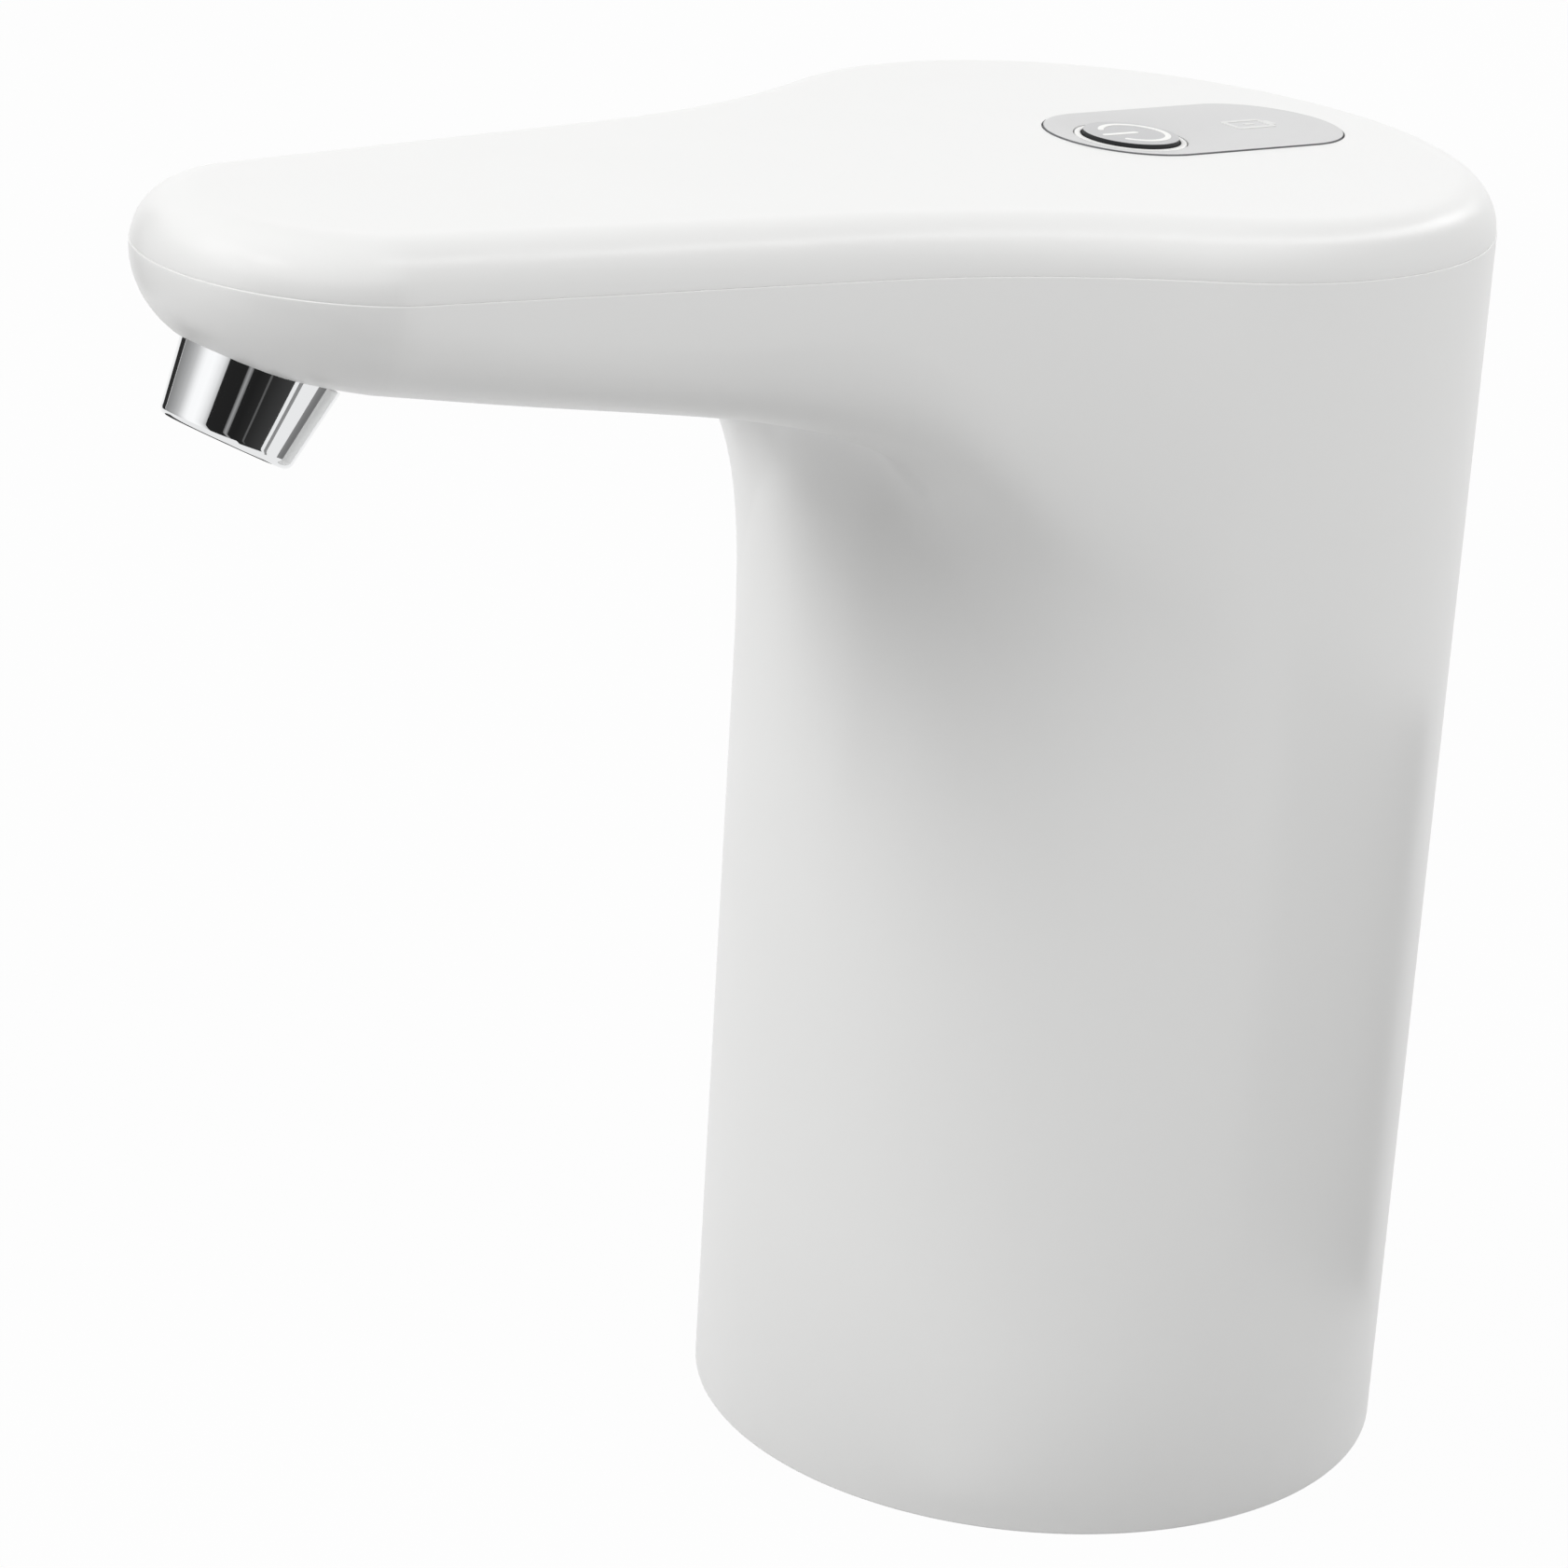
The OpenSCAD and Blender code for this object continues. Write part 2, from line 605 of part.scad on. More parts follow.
// Gear pump
module involute_gear(bore_r) {
    pitch_r = gear_module * gear_teeth / 2;
    root_r = pitch_r - 1.2 * gear_module;
    tip_r = pitch_r + 0.9 * gear_module;
    roll_r = pitch_r * cos(22);
    slack = 0.12;
    // half angle of the tooth at radius r, about its centre line
    function involute(r) = let (c = roll_r / max(r, roll_r), a = acos(min(1, c))) tan(a) * 180 / PI - a;
    half_pitch = 90 / gear_teeth - slack / pitch_r * 180 / PI;
    function half_angle(r) = half_pitch + involute(pitch_r) - involute(r);
    steps = 5;
    flank = [for (i = [0:steps]) root_r + (tip_r - root_r) * i / steps];
    linear_extrude(gear_h) difference() {
        polygon([for (t = [0:gear_teeth - 1]) let (a = 360 * t / gear_teeth) each concat(
            [for (r = flank) r * [cos(a - half_angle(r)), sin(a - half_angle(r))]],
            [for (i = [steps:-1:0]) let (r = flank[i]) r * [cos(a + half_angle(r)), sin(a + half_angle(r))]]
        )]);
        circle(r = bore_r);
    }
}
gear_pitch_r = gear_module * gear_teeth / 2;
gear_tip_r = gear_pitch_r + 0.9 * gear_module;
chamber_r = gear_tip_r + gear_clear;
port_gap = 5.4;
port_r = 2.4;
pump_w = 2 * (gear_pitch_r + chamber_r + 1.6);
pump_back = 10.4;
pump_fore = 10.2;
pump_screw_y = 8.5;
module at_gear(side) {
    translate([side * gear_pitch_r, -pump_front, 0]) children();
}
// Outline of the pump block with its corners rounded
module pump_block(z0, z1) {
    r = 3;
    translate([0, -pump_front, z0]) union() {
        translate([-pump_w / 2 + r, -pump_fore, 0]) cube([pump_w - 2 * r, pump_fore + pump_back, z1 - z0]);
        translate([-pump_w / 2, r - pump_fore, 0]) cube([pump_w, pump_fore + pump_back - 2 * r, z1 - z0]);
        for (x = [r - pump_w / 2, pump_w / 2 - r]) for (y = [r - pump_fore, pump_back - r])
            translate([x, y, 0]) cylinder(r = r, h = z1 - z0);
    }
}
module pump_hollow(z0, z1) {
    for (s = [-1, 1]) at_gear(s) post(chamber_r, z0, z1);
    for (y = [-port_gap, port_gap]) translate([0, y - pump_front, 0]) post(port_r, z0, z1);
}
module pump_screw_holes(r, z0, z1) {
    for (s = [-1, 1]) for (y = [-pump_screw_y, pump_screw_y])
        translate([s * gear_pitch_r, y - pump_front, 0]) post(r, z0, z1);
}
module inlet_spigot() {
    color("whitesmoke") difference() {
        union() {
            // the suction tube reaches up to the step below the floor
            post(spigot_r, floor_z - spigot_len + 1, floor_z - 1);
            post(spigot_r - 0.3, floor_z - 1 - eps, plate_z - 0.1);
            post(neck_r, plate_z - 0.2, pump_z + 2);
            post(spigot_r + 3, floor_z + floor_t + 0.1, plate_z - 0.1);
            // lead-in for the suction tube
            translate([0, 0, floor_z - spigot_len]) cylinder(r1 = spigot_r - 0.5, r2 = spigot_r, h = 1 + eps);
        }
        post(2.4, floor_z - spigot_len - 1, pump_z + 5);
    }
}
pump_cover_top = pump_z + pump_cover_t;
module pump_cover() {
    color("gray") difference() {
        pump_block(pump_z, pump_cover_top);
        post(neck_r + 0.02, pump_z - 1, pump_z + 2.2);
        post(1.9, pump_z, pump_cover_top + 1);
        at_gear(1) post(arbor_d / 2 + 0.02, pump_z + 1.5, pump_cover_top + 1);
        pump_screw_holes(1.35, pump_z - 1, pump_cover_top + 1);
        pump_screw_holes(2.5, pump_z - 1, pump_z + 1.8);
    }
}
module pump_gasket() {
    color("black") difference() {
        pump_block(pump_cover_top + 0.01, pump_cover_top + pump_gasket_t - 0.01);
        pump_hollow(pump_cover_top - 1, pump_cover_top + 2);
        pump_screw_holes(1.35, pump_cover_top - 1, pump_cover_top + 2);
    }
}
stub_r = 3.5;
stub_end = 21;
stub_z = gear_z + gear_h / 2;
seal_r = 3.5;
seal_z = chamber_top + 1.4;
module pump_housing() {
    color("gray") difference() {
        union() {
            pump_block(pump_cover_top + pump_gasket_t, motor_z);
            translate([0, -pump_front - pump_fore + 1, stub_z]) rotate([90, 0, 0])
                cylinder(r = stub_r, h = stub_end - pump_front - pump_fore + 1);
        }
        pump_hollow(pump_cover_top, chamber_top);
        translate([0, -pump_front - port_gap, stub_z]) rotate([90, 0, 0]) cylinder(r = 1.9, h = 30);
        at_gear(1) post(arbor_d / 2 + 0.02, pump_cover_top, chamber_top + 2.5);
        at_gear(-1) post(shaft_d / 2 + 0.3, pump_cover_top, motor_z + 1);
        at_gear(-1) post(seal_r + 0.02, seal_z, motor_z + 1);
        for (y = [-pump_screw_y, pump_screw_y]) {
            translate([-gear_pitch_r, y - pump_front, 0]) post(1.35, pump_cover_top, motor_z + 1);
            translate([gear_pitch_r, y - pump_front, 0]) post(1.1, pump_cover_top, chamber_top + 1);
        }
    }
}
module pump_screws() {
    color("silver") for (y = [-pump_screw_y, pump_screw_y])
        translate([gear_pitch_r, y - pump_front, pump_z + 0.2]) screw_up(2.16, 4.4, 1.5, 10);
}
module motor_screws() {
    color("silver") for (y = [-pump_screw_y, pump_screw_y])
        translate([-gear_pitch_r, y - pump_front, pump_z + 0.2]) screw_up(2.5, 4.4, 1.5, motor_z + 1.1 - pump_z - 1.7);
}
module drive_gear() {
    color("ivory") at_gear(-1) translate([0, 0, gear_z]) involute_gear(shaft_d / 2 + 0.01);
}
module driven_gear() {
    color("ivory") at_gear(1) translate([0, 0, gear_z]) rotate(180 + 180 / gear_teeth)
        involute_gear(arbor_d / 2 + run_clear);
}
module gear_arbor() {
    color("silver") at_gear(1) post(arbor_d / 2, pump_z + 1.7, chamber_top + 2.3);
}
module shaft_seal() {
    color("black") at_gear(-1) tube(seal_r, shaft_d / 2 + run_clear, seal_z + 0.02, motor_z - 0.1);
}

// Motor
can_r = motor_d / 2;
can_t = 1;
bush_r = 3;
core_r = can_r - 3.9;
core_z = motor_z + 6;
core_top = motor_top - 4.5;
module motor_can() {
    color("silver") at_gear(-1) difference() {
        post(can_r, motor_z + 0.02, motor_top);
        post(can_r - can_t, motor_z + 1.2, motor_top + 1);
        post(bush_r + 0.02, motor_z - 1, motor_z + 3);
        for (y = [-pump_screw_y, pump_screw_y]) translate([0, y, 0]) post(1.27, motor_z - 1, motor_z + 3);
    }
}
module motor_bushing() {
    color("goldenrod") at_gear(-1) tube(bush_r, shaft_d / 2 + run_clear, motor_z + 0.02, motor_z + 4);
}
module field_magnets() {
    color("dimgray") at_gear(-1) for (s = [0, 180]) rotate(s) intersection() {
        tube(can_r - can_t - 0.02, core_r + 0.6, core_z, core_top);
        translate([3, -20, 0]) cube([40, 40, 200]);
    }
}
module rotor_shaft() {
    color("silver") at_gear(-1) post(shaft_d / 2, gear_z + 0.5, motor_top + 4);
}
module armature() {
    color("peru") at_gear(-1) difference() {
        post(core_r, core_z + 0.5, core_top - 0.5);
        post(shaft_d / 2 + 0.01, core_z, core_top);
        // three winding slots
        for (a = [0:120:240]) rotate(a) translate([core_r - 3.6, -0.8, core_z]) cube([6, 1.6, core_top - core_z]);
    }
}
module commutator() {
    color("chocolate") at_gear(-1) tube(2.6, shaft_d / 2 + 0.01, core_top + 0.6, motor_top - 0.9);
}
module motor_end_cap() {
    color("white") at_gear(-1) difference() {
        union() {
            post(can_r, motor_top + 0.02, motor_top + 2.5);
            post(3.4, motor_top + 2, motor_top + 3.5);
        }
        post(shaft_d / 2 + run_clear, motor_top - 1, motor_top + 5);
        for (x = [-7.5, 7.5]) translate([x - 1.55, -0.3, motor_top - 1]) cube([3.1, 0.6, 6]);
    }
}
module motor_terminals() {
    color("gold") at_gear(-1) for (x = [-7.5, 7.5]) translate([x - 1.5, -0.25, motor_top + 0.1]) cube([3, 0.5, 5.5]);
}
damper_t = 0.8;
strap_t = 1;
strap_r = can_r + damper_t + 0.1;
module motor_damper() {
    color("black") at_gear(-1) difference() {
        tube(can_r + damper_t, can_r + 0.05, strap_z, strap_z + strap_h);
        translate([-40, 0, strap_z - 1]) cube([80, 40, strap_h + 2]);
    }
}
// Round front and straight legs, the shape of the strap's outside and inside
module strap_block(r, legs, z0, z1) {
    post(r, z0, z1);
    translate([-r, 0, z0]) cube([2 * r, legs, z1 - z0]);
}
module motor_strap() {
    legs = web_y + pump_front - 0.02;
    foot = strap_x + 3;
    color("silver") at_gear(-1) difference() {
        union() {
            strap_block(strap_r + strap_t, legs, strap_z, strap_z + strap_h);
            translate([-foot, legs - strap_t, strap_z]) cube([2 * foot, strap_t, strap_h]);
        }
        strap_block(strap_r, legs + 5, strap_z - 1, strap_z + strap_h + 1);
        for (x = [-strap_x, strap_x]) translate([x, legs - 5, strap_z + strap_h / 2])
            rotate([-90, 0, 0]) cylinder(r = 1.2, h = 10);
    }
}
module strap_screws() {
    color("silver") for (x = [-strap_x, strap_x])
        translate([motor_x + x, web_y - strap_t - 1.45, strap_z + strap_h / 2]) rotate([-90, 0, 0])
            screw_up(1.78, 4, 1.4, strap_t + web_t);
}

// Water path from the pump to the nozzle, in the middle plane
hose_y = -(inner_r - hose_d / 2 - 1.3);
hose_bore_r = hose_bore / 2;
barb_r = hose_bore_r - 0.03;
hose_foot = stub_z + 5.4;
hose_top = arm_z - 4.2;
bend_turn = 90 - hose_rise;
bend_end = [hose_y - hose_bend * (1 - cos(bend_turn)), hose_top + hose_bend * sin(bend_turn)];
run = [-cos(hose_rise), sin(hose_rise)];
// where the hose line meets the axis of the nozzle
axis_up = [sin(nozzle_tilt), cos(nozzle_tilt)];
to_axis = [-nozzle_front, nozzle_z] - bend_end;
run_len = (to_axis[0] * axis_up[1] - to_axis[1] * axis_up[0]) / (run[0] * axis_up[1] - run[1] * axis_up[0]);
meet = bend_end + run_len * run;
meet_up = (meet - [-nozzle_front, nozzle_z]) * axis_up;
elbow_r = 5;
hose_run = run_len - elbow_r - 2.4;
module along_run() {
    translate([0, bend_end[0], bend_end[1]]) rotate([90 - hose_rise, 0, 0]) children();
}
module outlet_elbow() {
    color("whitesmoke") difference() {
        union() {
            translate([0, -stub_end + 4, stub_z]) rotate([90, 0, 0]) cylinder(r = 4.7, h = -hose_y - stub_end + 4);
            translate([0, hose_y, stub_z]) sphere(r = 4.7);
            translate([0, hose_y, 0]) post(barb_r, stub_z, hose_foot + 9);
        }
        translate([0, -stub_end + 5, stub_z]) rotate([90, 0, 0]) cylinder(r = stub_r + 0.02, h = 5.2);
        translate([0, -stub_end + 4, stub_z]) rotate([90, 0, 0]) cylinder(r = 1.6, h = -hose_y - stub_end + 4);
        translate([0, hose_y, 0]) post(1.6, stub_z, hose_foot + 12);
    }
}
// Centre line of the hose up the column, round the bend and along the arm: [y, z, direction y, direction z]
hose_sides = 28;
hose_line = concat(
    [[hose_y, hose_foot, 0, 1]],
    [for (i = [0:10]) let (a = bend_turn * i / 10)
        [hose_y - hose_bend * (1 - cos(a)), hose_top + hose_bend * sin(a), -sin(a), cos(a)]],
    [concat(bend_end + hose_run * run, run)]
);
function hose_strip(a, r) = [for (p = hose_line)
    [r * cos(a), p[0] + r * sin(a) * p[3], p[1] - r * sin(a) * p[2]]];
function hose_wall(r) = [for (k = [0:hose_sides - 1]) hose_strip(-360 * k / hose_sides, r)];
module outlet_hose() {
    color("lightblue") skin(hose_wall(hose_d / 2), hose_wall(hose_bore_r));
}
elbow_foot = 0.7;
elbow_top = meet_up + 1.6;
groove_z = 2.4;
groove_h = 1.3;
module spout_elbow() {
    color("whitesmoke") difference() {
        union() {
            in_nozzle() post(elbow_r, elbow_foot, elbow_top);
            along_run() post(barb_r, hose_run - 8, run_len);
        }
        in_nozzle() post(3, elbow_foot - 1, elbow_top - 1.4);
        along_run() post(1.6, hose_run - 9, run_len);
        in_nozzle() tube(elbow_r + 1, elbow_r - 0.95, groove_z, groove_z + groove_h);
    }
}
oring_t = 1.06;
module nozzle_oring() {
    color("black") in_nozzle() translate([0, 0, groove_z + groove_h / 2]) rotate_extrude()
        translate([elbow_r - 0.92 + oring_t / 2, 0]) circle(d = oring_t, $fn = 24);
}
collar_top = 4.6;
module spout_nozzle() {
    color("silver") in_nozzle() difference() {
        union() {
            translate([0, 0, -nozzle_len])
                cylinder(r1 = nozzle_rim_d / 2, r2 = nozzle_r, h = nozzle_len + 0.6);
            post(nozzle_r - 0.4, 0, collar_top);
        }
        post(nozzle_rim_d / 2 - 0.9, -nozzle_len - 1, -1.5);
        post(3.1, -2, 2);
        post(elbow_r + 0.16, 0.5, collar_top + 1);
    }
}
module flow_insert() {
    r = nozzle_rim_d / 2 - 0.95;
    color("dimgray") in_nozzle() difference() {
        post(r, -nozzle_len + 0.7, -1.52);
        post(0.75, -nozzle_len, 0);
        for (a = [0:60:300]) rotate(a) translate([0.6 * r, 0, 0]) post(0.75, -nozzle_len, 0);
    }
}

// Battery
cradle_wall = 1.2;
cradle_front = web_y + web_t + 0.2;
cradle_r = (inner_r - cradle_gap - cradle_front) / 2;
cell_r = cradle_r - cradle_wall;
cell_y = cradle_front + cradle_r;
module battery_cell() {
    color("steelblue") translate([0, cell_y, 0]) {
        post(cell_r, cell_z, cell_z + cell_len - 1);
        post(2.8, cell_z + cell_len - 1.01, cell_z + cell_len);
    }
}
module battery_cradle() {
    color("dimgray") translate([0, cell_y, 0]) difference() {
        union() {
            tube(cradle_r, cell_r + 0.2, pump_z + 0.02, cradle_top + cradle_roof);
            post(cradle_r - 0.1, pump_z + 0.02, pump_z + cradle_floor);
            post(cradle_r - 0.1, cradle_top, cradle_top + cradle_roof);
        }
        // open back, where the cell is put in
        translate([-30, 3.5, pump_z + 5]) cube([60, 30, cradle_top - pump_z - 9]);
    }
}
module battery_contacts() {
    color("gold") translate([0, cell_y, 0]) {
        post(3.5, pump_z + cradle_floor + 0.02, cell_z - 0.02);
        post(3.5, cell_z + cell_len + 0.02, cradle_top - 0.02);
    }
}

body_shell();
top_cover();
control_panel();
light_ring();
power_button();
power_icon();
battery_icon();
tact_switch();
switch_plunger();
circuit_board();
board_screws();
indicator_leds();
charge_socket();
neck_collar();
neck_sleeve();
neck_gasket();
floor_gasket();
chassis();
chassis_screws();
inlet_spigot();
pump_cover();
pump_gasket();
pump_housing();
pump_screws();
drive_gear();
driven_gear();
gear_arbor();
shaft_seal();
motor_can();
motor_bushing();
field_magnets();
rotor_shaft();
armature();
commutator();
motor_end_cap();
motor_terminals();
motor_screws();
motor_damper();
motor_strap();
strap_screws();
outlet_elbow();
outlet_hose();
spout_elbow();
nozzle_oring();
spout_nozzle();
flow_insert();
battery_cell();
battery_cradle();
battery_contacts();
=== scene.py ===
# Looks for an electric water jug pump: white moulded column and spout arm, grey panel, chrome nozzle.
import math

import bmesh
import bpy
from mathutils import Matrix, Vector


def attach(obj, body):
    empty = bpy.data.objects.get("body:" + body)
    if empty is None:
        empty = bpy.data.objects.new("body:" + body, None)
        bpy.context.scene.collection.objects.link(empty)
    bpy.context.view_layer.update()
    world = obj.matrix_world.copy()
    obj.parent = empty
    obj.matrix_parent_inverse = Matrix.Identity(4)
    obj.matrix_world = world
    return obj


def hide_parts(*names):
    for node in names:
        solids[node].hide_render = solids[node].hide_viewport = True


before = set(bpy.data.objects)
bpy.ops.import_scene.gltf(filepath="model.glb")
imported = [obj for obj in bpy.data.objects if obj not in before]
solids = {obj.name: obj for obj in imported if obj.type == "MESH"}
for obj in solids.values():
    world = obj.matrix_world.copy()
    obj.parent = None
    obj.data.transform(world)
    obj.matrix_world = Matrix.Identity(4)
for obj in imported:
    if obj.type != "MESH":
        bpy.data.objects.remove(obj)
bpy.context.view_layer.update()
MM = 0.001

# Sizes of the mouldings in millimetres, as in the solids
BASE_R = 34.0
COLUMN_R = 34.6
WALL = 2.2
HEAD_HEIGHT = 128.2
HEAD_TILT = math.radians(2.9)
HEAD_R = 35.4
HEAD_SHIFT = 1.9
SPOUT_REACH = 106.3
SPOUT_HALF_W = 20.6
SPOUT_TAPER = 0.11
FLARE_R = 86.0
TIP_ROUND = 0.58
TIP_BULGE = 1.14
COVER_H = 4.7
EDGE_ROUND = 4.9
COVER_TOP = 2.2
LIP_DEPTH = 2.0
LIP_WALL = 1.3
LIP_END_Y = -70.0
BOSS_SPOTS = ((-21, -8), (21, -8), (0, 20))
BOSS_R = 2.6
BOSS_HOLE_R = 0.9
BOSS_END = -13.0
ARM_Z = 108.2
ARM_RISE = 0.18
ARM_ROUND = 8.5
FRONT_FILLET = 10.5
SIDE_FILLET = 17.0
CREASE_START = 25.0
CREASE_END = 78.0
CREASE_DROP = 0.2
CREASE_DEPTH = 11.5
FLANK_ROUND = 10.0
LEDGE_R0, LEDGE_R1 = 28.1, 32.2
LEDGE_Z0, LEDGE_Z1 = 34.7, 37.2
MOUTH_W = 12.0
MOUTH_H = 6.6
MOUTH_DROP = 16.3
PANEL_R = 8.2
PANEL_PITCH = 16.1
PANEL_T = 0.9
PANEL_RISE = 0.12
BUTTON_Y = -0.8
BUTTON_R = 4.5
BUTTON_RISE = 0.15
BUTTON_FLANGE_Z0, BUTTON_FLANGE_Z1 = -7.5, -6.3
BUTTON_STEM_R = 1.6
BUTTON_STEM_END = -9.4
RING_R = 5.25
RING_DROP = 0.25
RING_FLANGE_R = RING_R + 1.6
RING_FLANGE_Z0, RING_FLANGE_Z1 = -3.7, -2.2
RING_END = -6.0
GUIDE_R = 4.7
DISH_R = 7.79
ICON_R = 3.15
ICON_LINE = 0.55
ICON_BACK = 0.4
INK = 0.04
CELL_ICON_HALF_W, CELL_ICON_HALF_L = 1.5, 2.5
NOZZLE_FRONT = 96.6
NOZZLE_Z = 119.4
NOZZLE_TILT = math.radians(28.0)
NOZZLE_TOP_R = 7.1
NOZZLE_RIM_R = 6.0
NOZZLE_LEN = 7.1
NOZZLE_MOUTH_R = NOZZLE_RIM_R - 0.9
NOZZLE_NECK_R = NOZZLE_TOP_R - 0.4
NOZZLE_NECK_BORE_R = 5.16
NOZZLE_NECK_TOP = 4.6
NOZZLE_SHOULDER = 0.6
NOZZLE_BORE_R = 3.1
NOZZLE_FLOOR_Z0, NOZZLE_FLOOR_Z1 = -1.5, 0.5
FIT = 0.15

# Finish of the edges in millimetres; the inset cover and the two lips make the bright parting line
FOOT_ROUND = 0.2
LIP_ROUND = 0.12
COVER_ROUND = 0.04
COVER_INSET = 0.1
PANEL_EDGE = 0.03
RIM_ROUND_IN, RIM_ROUND_UP = 0.7, 0.9
# Radius of the innermost ring of a turned piece that is closed on its axis
AXIS = 0.001
# Edges steeper than this many degrees stay sharp: on most pieces, turned ones and the panel with its dish
SHARP = 35.0
TURNED_SHARP = 30.0
PANEL_SHARP = 20.0

# Angles from the front in degrees, start and end, over which the shell's section changes form
SIDE_TURN = (25.0, CREASE_END)
FADE_TURN = (56.0, CREASE_END)
FLANK_TURN = (14.0, 46.0)
SOFFIT_TURN = (18.0, 38.0)
ROUND_TURN = (20.0, 45.0)
LIFT_TURN = (16.0, 26.0)
RELAX_IN = (12.0, 20.0)
RELAX_OUT = (50.0, 70.0)
# Half the angle over which the lower edge starts to fall, and the wall's draft per mm
CREASE_EASE = 8.0
SIDE_DRAFT = 0.03
# Width of the arm's underside, its share of the overhang, and how much taller the edge's upper side gets
SOFFIT_W = ARM_ROUND + 0.3
SOFFIT_SHARE = 0.6
FLANK_LIFT = 1.4
# Rows of a section below its fillet and above its edge, which smoothing leaves alone
FOOT_ROWS = 8
LIP_ROWS = 5

# From the tilted head, the tilted nozzle and the button to the part's own frame
IN_HEAD = Matrix.Translation((0, 0, HEAD_HEIGHT)) @ Matrix.Rotation(-HEAD_TILT, 4, "X")
IN_NOZZLE = Matrix.Translation((0, -NOZZLE_FRONT, NOZZLE_Z)) @ Matrix.Rotation(-NOZZLE_TILT, 4, "X")
IN_BUTTON = IN_HEAD @ Matrix.Translation((0, BUTTON_Y, 0))


# Materials
def linear(hex_colour):
    """An sRGB hex colour as linear red, green, blue and alpha."""
    channels = [int(hex_colour[i:i + 2], 16) / 255 for i in (1, 3, 5)]
    return [c / 12.92 if c <= 0.04045 else ((c + 0.055) / 1.055) ** 2.4 for c in channels] + [1.0]


def add(tree, kind, inputs=None, **settings):
    """One node with its settings; an input is a value or the output socket that feeds it."""
    made = tree.nodes.new(kind)
    for key, value in settings.items():
        setattr(made, key, value)
    for key, value in (inputs or {}).items():
        if isinstance(value, bpy.types.NodeSocket):
            tree.links.new(value, made.inputs[key])
        else:
            made.inputs[key].default_value = value
    return made


def finish(name, colour, roughness, ior=1.5, metallic=0.0, grain=0.4, relief=0.002,
           spread=0.04, shade=0.03, **extra):
    """A solid finish: grain is the size of its surface texture in mm, relief its depth in mm,
    spread how much the roughness wanders and shade how much the colour does."""
    material = bpy.data.materials.new(name)
    material.use_nodes = True
    tree = material.node_tree
    shader = tree.nodes["Principled BSDF"]
    shader.inputs["IOR"].default_value = ior
    shader.inputs["Metallic"].default_value = metallic
    for key, value in extra.items():
        shader.inputs[key.replace("_", " ")].default_value = value
    place = add(tree, "ShaderNodeTexCoord").outputs["Object"]
    # slow wander of tone and gloss over about 15 mm, as moulded and rolled stock shows
    cloud_size = 15 * MM
    cloud = add(tree, "ShaderNodeTexNoise", {"Vector": place, "Scale": 1 / cloud_size, "Detail": 2.0})
    wander = cloud.outputs["Fac"]
    if shade:
        dark = [c * (1 - shade) for c in linear(colour)[:3]] + [1.0]
        tone = add(tree, "ShaderNodeMix", {0: wander, 6: dark, 7: linear(colour)}, data_type="RGBA")
        tree.links.new(tone.outputs[2], shader.inputs["Base Color"])
    else:
        shader.inputs["Base Color"].default_value = linear(colour)
    gloss = add(tree, "ShaderNodeMapRange", {
        "Value": wander, "From Min": 0.3, "From Max": 0.7,
        "To Min": max(0.02, roughness - spread), "To Max": roughness + spread})
    tree.links.new(gloss.outputs["Result"], shader.inputs["Roughness"])
    texture = add(tree, "ShaderNodeTexNoise", {"Vector": place, "Scale": 1 / (grain * MM), "Detail": 3.0})
    bump = add(tree, "ShaderNodeBump", {
        "Height": texture.outputs["Fac"], "Distance": relief * MM, "Strength": 1.0})
    tree.links.new(bump.outputs["Normal"], shader.inputs["Normal"])
    return material


# Injection-moulded ABS, polished tool: clean white, soft even gloss
white_abs = finish("white_abs_moulded", "#ececeb", 0.32, ior=1.53, grain=0.9, relief=0.0006,
                   spread=0.03, shade=0)
# ABS plated with copper, nickel and bright chromium: a mirror with a faint orange peel
bright_chrome = finish("chromium_plated_abs", "#e9eaeb", 0.045, metallic=1.0, grain=2.5, relief=0.0008,
                       spread=0.015, shade=0.01)
# Back-printed polycarbonate overlay: even light grey, fine matt grain
grey_overlay = finish("polycarbonate_overlay_grey", "#cfcfcf", 0.42, ior=1.58, grain=0.12, relief=0.004,
                      shade=0.02)
# Opal polycarbonate light pipe: milky white, soft
opal_pc = finish("opal_polycarbonate", "#f2f2f0", 0.38, ior=1.58, grain=0.5, relief=0.001, shade=0.01)
# Moulded ABS key, fine spark texture: mid grey, satin
grey_key = finish("grey_abs_key", "#bdbdbe", 0.36, ior=1.53, grain=0.15, relief=0.003)
# Pad-printed white ink: flat and slightly chalky
white_ink = finish("white_pad_print", "#f6f6f4", 0.55, grain=0.08, shade=0.01)
# Screen-printed light grey ink under the overlay: faint against the panel
grey_ink = finish("light_grey_screen_print", "#e0e0df", 0.5, grain=0.08, relief=0.001, shade=0.01)
# Outer edge of the overlay in dark grey: painted shade for its side wall in shadow, a thin dark line
painted_shade_overlay_edge = finish("polycarbonate_edge_painted_shade", "#77787a", 0.6, ior=1.58, grain=0.1, relief=0.006)
# Sides and underside of the key in near black: painted shade for its flank in shadow in the well, a black
# crescent
painted_shade_key_flank = finish("key_flank_painted_shade", "#17181a", 0.6, grain=0.1, relief=0.003)

# Moulded polypropylene, eroded tool: waxy off-white, soft sheen
white_pp = finish("white_polypropylene_moulded", "#e4e4e0", 0.42, ior=1.49, grain=0.5)
# Moulded acetal: milky white, slippery satin
white_acetal = finish("natural_acetal_moulded", "#ecebe4", 0.36, ior=1.48, relief=0.001)
# Moulded silicone rubber: pale grey, dull, fine mould texture
grey_silicone = finish("pale_silicone_rubber", "#d3d4d2", 0.6, ior=1.41, grain=0.35, relief=0.006,
                       shade=0.05)
